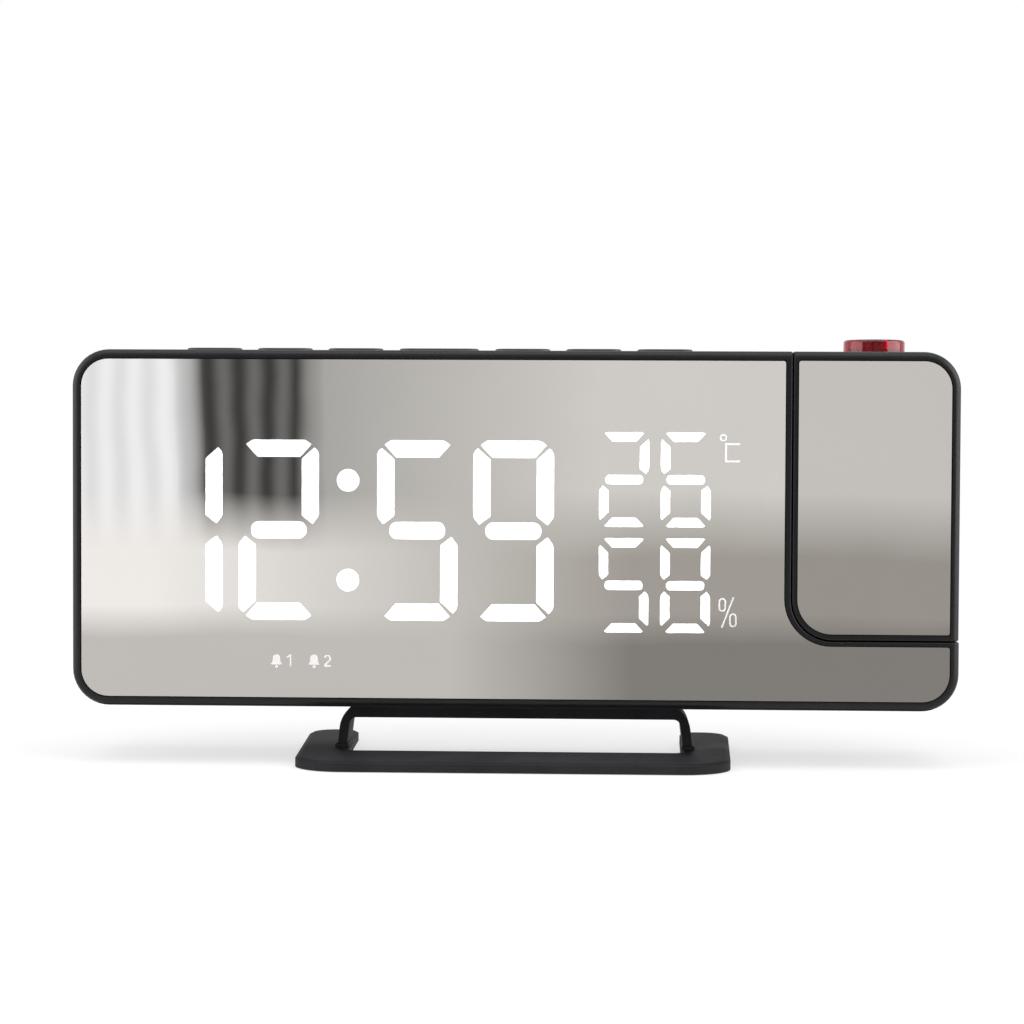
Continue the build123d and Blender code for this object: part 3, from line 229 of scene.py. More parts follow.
class EffectShop:
    """Builds each shared effect once and hands it out."""

    def __init__(self) -> None:
        """Start with no group built."""
        self.groups: dict[Effect, bpy.types.NodeTree] = {}
        self.makers: dict[Effect, Callable[[Wiring, Socket, Socket], Sequence[Socket]]] = {
            Effect.GRAIN: self._grain,
            Effect.MARKS: self._marks,
            Effect.BRUSHED: self._brushed,
            Effect.WOVEN: self._woven,
            Effect.TRACKS: self._tracks,
            Effect.DUST: self._dust,
        }

    def place(self, wiring: Wiring, effect: Effect, number: float) -> Mapping[str, Socket]:
        """Place an effect in a material, read at the position on the piece.

        Args:
            wiring: Wiring of the material's tree.
            effect: The effect wanted.
            number: Value of its number input.

        Returns:
            Its output sockets, by name.
        """
        if effect not in self.groups:
            self.groups[effect] = self._build(effect)
        _, label, _ = effect.value
        inputs = {"Vector": wiring.place(), label: number}
        return wiring.add("ShaderNodeGroup", inputs, node_tree=self.groups[effect]).outputs

    def _build(self, effect: Effect) -> bpy.types.NodeTree:
        """Build the node group of an effect.

        Args:
            effect: The effect wanted.

        Returns:
            Its node group.
        """
        name, number, results = effect.value
        tree = bpy.data.node_groups.new(name, "ShaderNodeTree")
        tree.interface.new_socket("Vector", in_out="INPUT", socket_type="NodeSocketVector")
        tree.interface.new_socket(number, in_out="INPUT", socket_type="NodeSocketFloat")
        for label in results:
            tree.interface.new_socket(label, in_out="OUTPUT", socket_type="NodeSocketFloat")
        wiring = Wiring(tree)
        given = wiring.add("NodeGroupInput").outputs
        made = self.makers[effect](wiring, given["Vector"], given[number])
        wiring.add("NodeGroupOutput", dict(zip(results, made)))
        return tree

    @staticmethod
    def _grain(wiring: Wiring, vector: Socket, scale: Socket) -> Sequence[Socket]:
        """Spark-eroded texture of a moulded skin, with faint flow shades under it.

        Args:
            wiring: Wiring of the group's tree.
            vector: Where the effect is read.
            scale: Its grains in a metre.

        Returns:
            The relief's height, and a mask of the shades.
        """
        fine = wiring.noise(vector, scale, detail=3.0, Roughness=0.6)
        pits = wiring.cells(vector, wiring.times(scale, 0.7))
        height = wiring.plus(wiring.times(fine, 0.65), wiring.times(pits, 0.35))
        flow = wiring.noise(vector, wiring.times(scale, 0.03), detail=4.0)
        return height, wiring.spread(flow, 0.35, 0.65)

    @staticmethod
    def _marks(wiring: Wiring, vector: Socket, scale: Socket) -> Sequence[Socket]:
        """Soft smudges from fingers and a few hairline scuffs.

        Args:
            wiring: Wiring of the group's tree.
            vector: Where the effect is read.
            scale: Its smudges in a metre.

        Returns:
            Masks of the smudges and of the scuffs.
        """
        smudges = wiring.noise(vector, scale, detail=5.0, Distortion=0.8)
        long_way = wiring.stretch(vector, scale=(1.0, 9.0, 5.0), turn=(0.3, 0.5, 0.9))
        lines = wiring.noise(long_way, wiring.times(scale, 3.0), detail=2.0)
        return wiring.spread(smudges, 0.45, 0.7), wiring.spread(lines, 0.66, 0.72)

    @staticmethod
    def _brushed(wiring: Wiring, vector: Socket, scale: Socket) -> Sequence[Socket]:
        """Fine parallel lines of drawn or turned metal, along X, with cloudy shades.

        Args:
            wiring: Wiring of the group's tree.
            vector: Where the effect is read.
            scale: Its lines in a metre.

        Returns:
            The relief's height, and a mask of the shades.
        """
        lines = wiring.noise(wiring.stretch(vector, scale=(0.06, 1.0, 1.0)), scale, detail=4.0, Roughness=0.7)
        cloud = wiring.noise(vector, wiring.times(scale, 0.05), detail=3.0)
        return lines, wiring.spread(cloud, 0.35, 0.65)

    @staticmethod
    def _woven(wiring: Wiring, vector: Socket, threads: Socket) -> Sequence[Socket]:
        """Plain weave of round threads, across X and Z.

        Args:
            wiring: Wiring of the group's tree.
            vector: Where the effect is read.
            threads: Its threads in a metre.

        Returns:
            The relief's height, and a mask of the threads on top.
        """
        x, _, z = wiring.split(vector)
        turn = wiring.times(threads, math.pi)
        across = wiring.math("SINE", wiring.times(x, turn))
        up = wiring.math("SINE", wiring.times(z, turn))
        height = wiring.math("MAXIMUM", wiring.math("ABSOLUTE", across), wiring.math("ABSOLUTE", up))
        return height, wiring.spread(wiring.times(across, up), -1.0, 1.0)

    @staticmethod
    def _tracks(wiring: Wiring, vector: Socket, scale: Socket) -> Sequence[Socket]:
        """Copper tracks and joints under the lacquer of a circuit board.

        Args:
            wiring: Wiring of the group's tree.
            vector: Where the effect is read.
            scale: Its tracks in a metre.

        Returns:
            Masks of the tracks and of the joints.
        """
        runs = wiring.cells(vector, scale, metric="MANHATTAN")
        bands = wiring.math("PINGPONG", wiring.times(runs, 6.0), 0.5)
        dots = wiring.cells(vector, wiring.times(scale, 2.2), scatter=0.6)
        return wiring.spread(bands, 0.2, 0.26), wiring.spread(dots, 0.12, 0.09)

    @staticmethod
    def _dust(wiring: Wiring, vector: Socket, amount: Socket) -> Sequence[Socket]:
        """Fine dust on faces that look up, thicker in some patches.

        Args:
            wiring: Wiring of the group's tree.
            vector: Where the effect is read.
            amount: How much there is, 0 to 1.

        Returns:
            A mask of the dust.
        """
        grains = wiring.spread(wiring.noise(vector, 2600.0, detail=2.0), 0.58, 0.72)
        patches = wiring.spread(wiring.noise(vector, 55.0, detail=3.0), 0.4, 0.7, to_low=0.1)
        facing_up = wiring.split(wiring.add("ShaderNodeTexCoord").outputs["Normal"])[2]
        mask = wiring.times(wiring.times(grains, patches), wiring.spread(facing_up, 0.6, 1.0))
        return (wiring.times(mask, amount),)


EFFECTS = EffectShop()


# ---------------------------------------------------------------- finishes


@dataclass(frozen=True)
class Finish(ABC):
    """One surface finish, made into a material the first time it is used."""

    name: str
    colour: Colour

    def material(self) -> bpy.types.Material:
        """Find or build this finish's material.

        Returns:
            The material.
        """
        label = f"finish_{self.name}"
        found = bpy.data.materials.get(label)
        if found is None:
            found = bpy.data.materials.new(label)
            wiring = Wiring.start(found)
            body = wiring.add("ShaderNodeBsdfPrincipled")
            wiring.add("ShaderNodeOutputMaterial", {"Surface": body.outputs[0]})
            wiring.feed(body, self.sockets(wiring))
        return found

    @abstractmethod
    def sockets(self, wiring: Wiring) -> Inputs:
        """Wire the finish.

        Args:
            wiring: Wiring of the material's tree.

        Returns:
            Sockets and plain values for the Principled shader's inputs, by name.
        """

    def tint(self, wiring: Wiring, mask: Value, first: float, second: float) -> Socket:
        """The finish's colour, scaled by first where a mask is 0 and by second where it is 1."""
        return wiring.blend(mask, shade(self.colour, first), shade(self.colour, second))


@dataclass(frozen=True)
class MouldedPlastic(Finish):
    """Injection-moulded plastic with a spark-eroded skin."""

    rough: float = 0.45
    grain_mm: float = 0.35
    depth_mm: float = 0.012
    gloss: float = 0.5
    dust: float = 0.0
    matt_below_mm: float = 0.0
    matt_fade_mm: float = 0.3
    marks_per_m: float = 38.0

    def sockets(self, wiring: Wiring) -> Inputs:
        """See Finish.sockets."""
        grain = EFFECTS.place(wiring, Effect.GRAIN, 1.0 / (self.grain_mm * MM))
        marks = EFFECTS.place(wiring, Effect.MARKS, self.marks_per_m)
        flow = self.tint(wiring, grain["Mask"], 0.86, 1.16)
        skin = wiring.blend(wiring.times(marks["Scuff"], 0.25), flow, shade(self.colour, 2.2))
        pores = wiring.spread(grain["Height"], 0.3, 0.7, -0.05, 0.05)
        smudges = wiring.spread(marks["Smudge"], 0.0, 1.0, 0.03, -0.06)
        rough = wiring.plus(wiring.plus(self.rough, pores), smudges)
        if self.dust > 0:
            dust = EFFECTS.place(wiring, Effect.DUST, self.dust)["Mask"]
            skin = wiring.blend(dust, skin, DUST)
            rough = wiring.plus(rough, wiring.times(dust, 0.3))
        if self.matt_below_mm > 0:
            height = wiring.split(wiring.place())[2]
            edge = self.matt_below_mm * MM
            matt = wiring.spread(height, edge - self.matt_fade_mm * MM, edge, 0.95, 0.0)
            rough = wiring.math("MAXIMUM", rough, matt)
        return {
            "Base Color": skin,
            "Roughness": rough,
            "Normal": wiring.bump(grain["Height"], self.depth_mm),
            "IOR": IOR_PLASTIC,
            "Specular IOR Level": self.gloss,
        }


@dataclass(frozen=True)
class HalfMirror(Finish):
    """Half-silvered acrylic: a mirror that lets the lit segments behind it through."""

    silver: float = 0.8
    backing: float = 0.0
    front: float = -16.75 * MM
    thick: float = 2.0 * MM
    skin: float = 0.03 * MM
    clouds_per_m: float = 900.0
    marks_per_m: float = 22.0

    def sockets(self, wiring: Wiring) -> Inputs:
        """See Finish.sockets."""
        depth = wiring.split(wiring.place())[1]
        front = wiring.math("LESS_THAN", depth, self.front + self.skin)
        back = wiring.math("GREATER_THAN", depth, self.front + self.thick - self.skin)
        edge = wiring.math("SUBTRACT", wiring.math("SUBTRACT", 1.0, front), back)
        cloud = EFFECTS.place(wiring, Effect.GRAIN, self.clouds_per_m)
        marks = EFFECTS.place(wiring, Effect.MARKS, self.marks_per_m)
        silvered = wiring.plus(wiring.times(front, self.silver), wiring.times(back, self.backing))
        haze = wiring.plus(wiring.times(marks["Smudge"], 0.012), wiring.times(edge, 0.25))
        return {
            "Base Color": wiring.blend(edge, self.tint(wiring, cloud["Mask"], 0.99, 1.01), SAWN_EDGE),
            "Roughness": wiring.plus(haze, 0.004),
            "Metallic": wiring.math("SUBTRACT", 1.0, edge),
            "Alpha": wiring.plus(silvered, edge),
        }


@dataclass(frozen=True)
class LitDiffuser(Finish):
    """Diffuser block of a segment, lit from behind or dark."""

    glow: float = 0.0
    grains_per_m: float = 2500.0

    def sockets(self, wiring: Wiring) -> Inputs:
        """See Finish.sockets."""
        grain = EFFECTS.place(wiring, Effect.GRAIN, self.grains_per_m)
        milk = self.tint(wiring, grain["Mask"], 0.96, 1.0)
        lit = {"Emission Color": milk, "Emission Strength": self.glow} if self.glow > 0 else {}
        return {
            "Base Color": milk,
            "Roughness": wiring.spread(grain["Height"], 0.3, 0.7, 0.4, 0.55),
            "Normal": wiring.bump(grain["Height"], 0.006),
            **lit,
        }


@dataclass(frozen=True)
class TintedClear(Finish):
    """Transparent dyed plastic, deep where it is thick."""

    rough: float = 0.06
    through: float = 0.45
    grains_per_m: float = 1600.0
    marks_per_m: float = 120.0

    def sockets(self, wiring: Wiring) -> Inputs:
        """See Finish.sockets."""
        grain = EFFECTS.place(wiring, Effect.GRAIN, self.grains_per_m)
        marks = EFFECTS.place(wiring, Effect.MARKS, self.marks_per_m)
        return {
            "Base Color": self.tint(wiring, grain["Mask"], 0.9, 1.1),
            "Roughness": wiring.plus(self.rough, wiring.times(marks["Smudge"], 0.05)),
            "Normal": wiring.bump(grain["Height"], 0.002, 0.5),
            "IOR": IOR_PLASTIC,
            "Transmission Weight": self.through,
            "Specular IOR Level": 0.4,
        }


@dataclass(frozen=True)
class ClearLens(Finish):
    """Polished lens with a faint coating tint."""

    marks_per_m: float = 160.0

    def sockets(self, wiring: Wiring) -> Inputs:
        """See Finish.sockets."""
        marks = EFFECTS.place(wiring, Effect.MARKS, self.marks_per_m)
        return {
            "Base Color": self.tint(wiring, marks["Smudge"], 1.0, 0.97),
            "Roughness": wiring.spread(marks["Smudge"], 0.0, 1.0, 0.01, 0.04),
            "IOR": IOR_GLASS,
            "Transmission Weight": 1.0,
            "Coat Weight": 0.3,
        }


@dataclass(frozen=True)
class WorkedMetal(Finish):
    """Plated, drawn or sintered metal."""

    rough: float = 0.3
    lines_mm: float = 0.12
    depth_mm: float = 0.004
    marks_per_m: float = 90.0

    def sockets(self, wiring: Wiring) -> Inputs:
        """See Finish.sockets."""
        drawn = EFFECTS.place(wiring, Effect.BRUSHED, 1.0 / (self.lines_mm * MM))
        marks = EFFECTS.place(wiring, Effect.MARKS, self.marks_per_m)
        tone = self.tint(wiring, drawn["Mask"], 0.84, 1.08)
        grooves = wiring.spread(drawn["Height"], 0.3, 0.7, self.rough * 0.75, self.rough * 1.3)
        return {
            "Base Color": wiring.blend(wiring.times(marks["Smudge"], 0.3), tone, shade(self.colour, 0.7)),
            "Roughness": wiring.plus(grooves, wiring.times(marks["Smudge"], 0.08)),
            "Normal": wiring.bump(drawn["Height"], self.depth_mm),
            "Metallic": 1.0,
        }


@dataclass(frozen=True)
class CircuitBoard(Finish):
    """Lacquered board with its copper tracks showing through."""

    tracks_per_m: float = 260.0
    grains_per_m: float = 3000.0

    def sockets(self, wiring: Wiring) -> Inputs:
        """See Finish.sockets."""
        copper = EFFECTS.place(wiring, Effect.TRACKS, self.tracks_per_m)
        grain = EFFECTS.place(wiring, Effect.GRAIN, self.grains_per_m)
        lacquer = self.tint(wiring, copper["Tracks"], 1.0, 1.9)
        relief = wiring.plus(wiring.times(copper["Tracks"], 0.5), copper["Joints"])
        return {
            "Base Color": wiring.blend(copper["Joints"], lacquer, SOLDER),
            "Roughness": wiring.spread(grain["Height"], 0.3, 0.7, 0.22, 0.36),
            "Metallic": wiring.times(copper["Joints"], 0.8),
            "Normal": wiring.bump(relief, 0.03),
        }


@dataclass(frozen=True)
class SoftRubber(Finish):
    """Matt rubber with a dry bloom."""

    rough: float = 0.82
    rough_spread: float = 0.08
    grains_per_m: float = 2200.0
    marks_per_m: float = 70.0

    def sockets(self, wiring: Wiring) -> Inputs:
        """See Finish.sockets."""
        grain = EFFECTS.place(wiring, Effect.GRAIN, self.grains_per_m)
        marks = EFFECTS.place(wiring, Effect.MARKS, self.marks_per_m)
        smooth, coarse = self.rough - self.rough_spread, self.rough + self.rough_spread
        return {
            "Base Color": self.tint(wiring, wiring.times(marks["Smudge"], 0.5), 1.0, 1.8),
            "Roughness": wiring.spread(grain["Height"], 0.3, 0.7, smooth, coarse),
            "Normal": wiring.bump(grain["Height"], 0.03),
            "Specular IOR Level": 0.3,
        }


@dataclass(frozen=True)
class WovenCloth(Finish):
    """Acoustic cloth or pressed paper."""

    threads_per_mm: float = 2.5

    def sockets(self, wiring: Wiring) -> Inputs:
        """See Finish.sockets."""
        weave = EFFECTS.place(wiring, Effect.WOVEN, self.threads_per_mm / MM)
        return {
            "Base Color": self.tint(wiring, weave["Mask"], 0.6, 1.5),
            "Roughness": wiring.spread(weave["Height"], 0.0, 1.0, 0.95, 0.75),
            "Normal": wiring.bump(weave["Height"], 0.08),
            "Sheen Weight": 0.3,
        }


RIM_BLACK = MouldedPlastic(
    "rim_black", (0.005, 0.0048, 0.0062), rough=0.38, grain_mm=0.3, depth_mm=0.004, gloss=0.28,
    matt_below_mm=13.4,
)
CASE_BLACK = MouldedPlastic(
    "case_black", (0.018, 0.018, 0.02), rough=0.52, depth_mm=0.016, gloss=0.4, dust=0.22
)
KEY_BLACK = MouldedPlastic(
    "key_black", (0.016, 0.016, 0.018), rough=0.4, grain_mm=0.25, depth_mm=0.006, gloss=0.45
)
STAND_BLACK = MouldedPlastic(
    "stand_black", (0.023, 0.0225, 0.0255), rough=0.6, grain_mm=0.3, gloss=0.06, dust=0.1
)
SHIELD_BLACK = MouldedPlastic("shield_black", (0.004, 0.004, 0.004), rough=0.85, gloss=0.1)
CHIP_BLACK = MouldedPlastic("chip_black", (0.012, 0.012, 0.012), rough=0.6, grain_mm=0.15, depth_mm=0.01)
SOCKET_CREAM = MouldedPlastic("socket_cream", (0.72, 0.68, 0.56), rough=0.4)
BUSH_WHITE = MouldedPlastic("bush_white", (0.72, 0.72, 0.7), rough=0.35)
PRINT_GREY = MouldedPlastic("print_grey", (0.52, 0.52, 0.53), rough=0.55, grain_mm=0.1, depth_mm=0.004)
MIRROR = HalfMirror("half_mirror", (0.99, 0.979, 0.959))
HEAD_MIRROR = HalfMirror("head_mirror", (0.7, 0.69, 0.675), silver=1.0, backing=1.0)
LIT_WHITE = LitDiffuser("lit_white", (0.96, 0.97, 1.0), glow=5.2)
LIT_SMALL = LitDiffuser("lit_small", (0.96, 0.97, 1.0), glow=2.7)
LIT_DIM = LitDiffuser("lit_dim", (0.96, 0.97, 1.0), glow=1.9)
SMOKED = LitDiffuser("smoked_diffuser", (0.006, 0.006, 0.007))
LED_PHOSPHOR = LitDiffuser("led_phosphor", (0.85, 0.72, 0.25))
CLEAR_RED = TintedClear("clear_red", (0.4, 0.0015, 0.014), rough=0.04, through=0.82)
WINDOW_RED = TintedClear("window_red", (0.4, 0.004, 0.012), rough=0.03, through=0.9)
PANEL_DARK = TintedClear("panel_dark", (0.05, 0.055, 0.08), through=0.5)
LENS_CLEAR = ClearLens("lens_clear", (0.93, 0.96, 0.98))
BLACK_ZINC = WorkedMetal("black_zinc", (0.09, 0.09, 0.095), rough=0.36)
SPRING_STEEL = WorkedMetal("spring_steel", (0.42, 0.42, 0.43), rough=0.32)
NICKEL = WorkedMetal("nickel", (0.66, 0.65, 0.63), rough=0.2, depth_mm=0.002)
GOLD = WorkedMetal("gold_flash", (0.83, 0.6, 0.24), rough=0.22, depth_mm=0.001)
BRASS = WorkedMetal("spring_brass", (0.72, 0.53, 0.25), rough=0.28)
EXTRUDED = WorkedMetal("extruded_aluminium", (0.6, 0.61, 0.63), rough=0.38, lines_mm=0.3, depth_mm=0.01)
FERRITE = WorkedMetal("sintered_ferrite", (0.1, 0.1, 0.11), rough=0.6, lines_mm=0.5, depth_mm=0.02)
BOARD_GREEN = CircuitBoard("board_green", (0.012, 0.085, 0.035))
RUBBER = SoftRubber("foot_rubber", (0.016, 0.016, 0.016))
SLEEVE = SoftRubber("lead_sleeve", (0.012, 0.012, 0.012), rough=0.6)
CONE_PAPER = WovenCloth("cone_paper", (0.035, 0.035, 0.036), threads_per_mm=1.6)
GRILLE_CLOTH = WovenCloth("grille_cloth", (0.03, 0.03, 0.032))


# ---------------------------------------------------------------- modelling bench


class Part(Enum):
    """What an operator works on."""

    FACES = "FACE"
    EDGES = "EDGE"


class Axis(Enum):
    """Direction of a round primitive's axis, as the turn from Z."""

    Y = (math.pi / 2, 0.0, 0.0)
    Z = (0.0, 0.0, 0.0)


class Bench:
    """Models one piece at a time with Blender's own operators."""

    @staticmethod
    def done() -> None:
        """Leave edit mode."""
        bpy.ops.object.mode_set(mode="OBJECT")

    @staticmethod
    def clear() -> None:
        """Leave edit mode and select nothing."""
        if bpy.context.object is not None and bpy.context.object.mode != "OBJECT":
            Bench.done()
        bpy.ops.object.select_all(action="DESELECT")

    @staticmethod
    def hold(*pieces: Piece) -> None:
        """Select these pieces and nothing else.

        Args:
            *pieces: The objects, of which the first becomes the active one.
        """
        Bench.clear()
        for piece in pieces:
            piece.select_set(True)
        bpy.context.view_layer.objects.active = pieces[0]

    @staticmethod
    def disc_bar(name: str, centre: Place, radius: float, depth: float, axis: Axis, sides: int = 48) -> Piece:
        """Add a round bar.

        Args:
            name: Name of the piece.
            centre: Its middle.
            radius: Its radius.
            depth: Its length.
            axis: Direction of its axis.
            sides: Number of its sides.

        Returns:
            The new object, selected.
        """
        Bench.clear()
        bpy.ops.mesh.primitive_cylinder_add(
            vertices=sides, radius=radius, depth=depth, location=centre, rotation=axis.value
        )
        return Bench._named(name)

    @staticmethod
    def block(name: str, centre: Place, size: Place) -> Piece:
        """Add a block.

        Args:
            name: Name of the piece.
            centre: Its middle.
            size: Its lengths along X, Y and Z.

        Returns:
            The new object, selected.
        """
        Bench.clear()
        bpy.ops.mesh.primitive_cube_add(size=1.0, location=centre, scale=size)
        return Bench._named(name)

    @staticmethod
    def _named(name: str) -> Piece:
        """Name the active object and put its place into its mesh.

        Args:
            name: The new name.

        Returns:
            The object.
        """
        made = bpy.context.object
        made.name = name
        made.data.name = name
        bpy.ops.object.transform_apply(location=True, rotation=True, scale=True)
        return made

    @staticmethod
    def pick(piece: Piece, test: Callable[[Vector, Vector], bool], part: Part = Part.FACES) -> None:
        """Select faces or edges and stay in edit mode.

        Args:
            piece: The object.
            test: Says whether one is wanted, from its middle and its normal, or an edge's direction.
            part: Faces or edges.
        """
        bpy.ops.object.mode_set(mode="EDIT")
        bpy.ops.mesh.select_mode(type=part.value)
        bpy.ops.mesh.select_all(action="DESELECT")
        Bench.done()
        mesh = piece.data
        if part is Part.FACES:
            for face in mesh.polygons:
                face.select = test(face.center, face.normal)
        else:
            for edge in mesh.edges:
                start, end = (mesh.vertices[i].co for i in edge.vertices)
                edge.select = test((start + end) / 2, (end - start).normalized())
        bpy.ops.object.mode_set(mode="EDIT")

    @staticmethod
    def inset(thickness: float, depth: float = 0.0) -> None:
        """Inset the selected faces and move them along their normal."""
        bpy.ops.mesh.inset(thickness=thickness, depth=depth)

    @staticmethod
    def extrude(x: float, y: float, z: float) -> None:
        """Extrude the selection by a distance."""
        bpy.ops.mesh.extrude_region_move(TRANSFORM_OT_translate={"value": (x, y, z)})

    @staticmethod
    def bevel(width: float, segments: int) -> None:
        """Bevel the selected edges."""
        bpy.ops.mesh.bevel(offset=width, segments=segments, affect="EDGES")

    @staticmethod
    def modify(piece: Piece, kind: str, **settings: object) -> None:
        """Apply a modifier.

        Args:
            piece: The object.
            kind: Blender's name of the modifier type.
            **settings: Values of the modifier's own properties.
        """
        Bench.hold(piece)
        modifier = piece.modifiers.new(kind, kind)
        for name, value in settings.items():
            setattr(modifier, name, value)
        bpy.ops.object.modifier_apply(modifier=modifier.name)

    @staticmethod
    def cut(piece: Piece, tool: Piece, operation: str = "DIFFERENCE") -> None:
        """Cut a piece with another, or do another boolean operation. The tool is used up."""
        Bench.modify(piece, "BOOLEAN", object=tool, operation=operation, solver="EXACT")
        bpy.data.objects.remove(tool)

    @staticmethod
    def soften(piece: Piece, width: float, angle: float = 30.0) -> None:
        """Round the edges that are sharper than an angle in degrees."""
        limits = {"limit_method": "ANGLE", "angle_limit": math.radians(angle)}
        Bench.modify(piece, "BEVEL", width=width, segments=2, **limits)

    @staticmethod
    def join(name: str, pieces: Sequence[Piece]) -> Piece:
        """Join several pieces into one.

        Args:
            name: Name of the joined piece.
            pieces: The objects to join.

        Returns:
            The joined object.
        """
        Bench.hold(*pieces)
        bpy.ops.object.join()
        joined = bpy.context.object
        joined.name = name
        joined.data.name = name
        return joined

    @staticmethod
    def copy(
        piece: Piece, name: str, move: Place = ORIGIN, turn: float = 0.0, about: Place = ORIGIN
    ) -> Piece:
        """Copy a piece with a mesh of its own, turned about an upright axis and moved.

        Args:
            piece: The object to copy.
            name: Name of the copy.
            move: How far it is moved.
            turn: Angle of the turn, in radians.
            about: Point that the axis goes through.

        Returns:
            The copy.
        """
        made = piece.copy()
        made.data = piece.data.copy()
        made.name = name
        bpy.context.scene.collection.objects.link(made)
        centre = Vector(about)
        turned = Matrix.Rotation(turn, 4, "Z") @ Matrix.Translation(-centre)
        made.data.transform(Matrix.Translation(Vector(move) + centre) @ turned)
        return made


def middle(low: Vector, high: Vector) -> Place:
    """Middle of a box between its lowest and highest corners."""
    return tuple((start + end) / 2 for start, end in zip(low, high))


@dataclass
class SubAssembly(ABC):
    """A group of pieces that is dressed and detailed together."""

    frame: dict
    report: list[str] = field(default_factory=list)

    @abstractmethod
    def build(self) -> None:
        """Dress the nodes and model the new pieces."""

    def dress(self, looks: Mapping[Finish, Iterable[str]]) -> None:
        """Give CAD nodes their finish.

        Args:
            looks: Names of nodes, by finish.
        """
        for look, nodes in looks.items():
            for node in nodes:
                for slot in self.frame["nodes"][node].material_slots:
                    slot.material = look.material()
                self.report.append(node)

    def hang(self, piece: Piece, look: Finish, body: str, slot: str, smooth: float = 35.0) -> None:
        """Clean, shade and dress a modelled piece, and let it ride on its body.

        Args:
            piece: The object.
            look: Its finish.
            body: CAD body that it rides on.
            slot: Not used.
            smooth: Edges under this many degrees are shaded smooth.
        """
        Bench.hold(piece)
        bpy.ops.object.mode_set(mode="EDIT")
        bpy.ops.mesh.select_all(action="SELECT")
        bpy.ops.mesh.remove_doubles(threshold=MERGE)
        bpy.ops.mesh.normals_make_consistent(inside=False)
        Bench.done()
        bpy.ops.object.shade_smooth_by_angle(angle=math.radians(smooth))
        piece.data.materials.clear()
        piece.data.materials.append(look.material())
        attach(piece, body)
        self.report.append(piece.name)


# ---------------------------------------------------------------- the clock


@dataclass
class MirrorFace(SubAssembly):
    """Rims and mirror sheets of the case and the head."""

    def build(self) -> None:
        """See SubAssembly.build."""
        self.dress({
            RIM_BLACK: ["front_bezel", "head_bezel"],
            MIRROR: ["mirror_panel"],
            HEAD_MIRROR: ["head_mirror"],
        })


@dataclass
class SegmentDisplay(SubAssembly):
    """Light frame, lit and unlit segments, and the board behind them."""

    def build(self) -> None:
        """See SubAssembly.build."""
        self.dress({
            SHIELD_BLACK: ["display_frame"],
            LIT_WHITE: ["time_segments", "climate_segments", "colon_dots"],
            LIT_SMALL: ["unit_symbols"],
            LIT_DIM: ["alarm_indicators"],
            SMOKED: ["unlit_segments"],
            BOARD_GREEN: ["main_board"],
            LED_PHOSPHOR: ["display_leds"],
        })


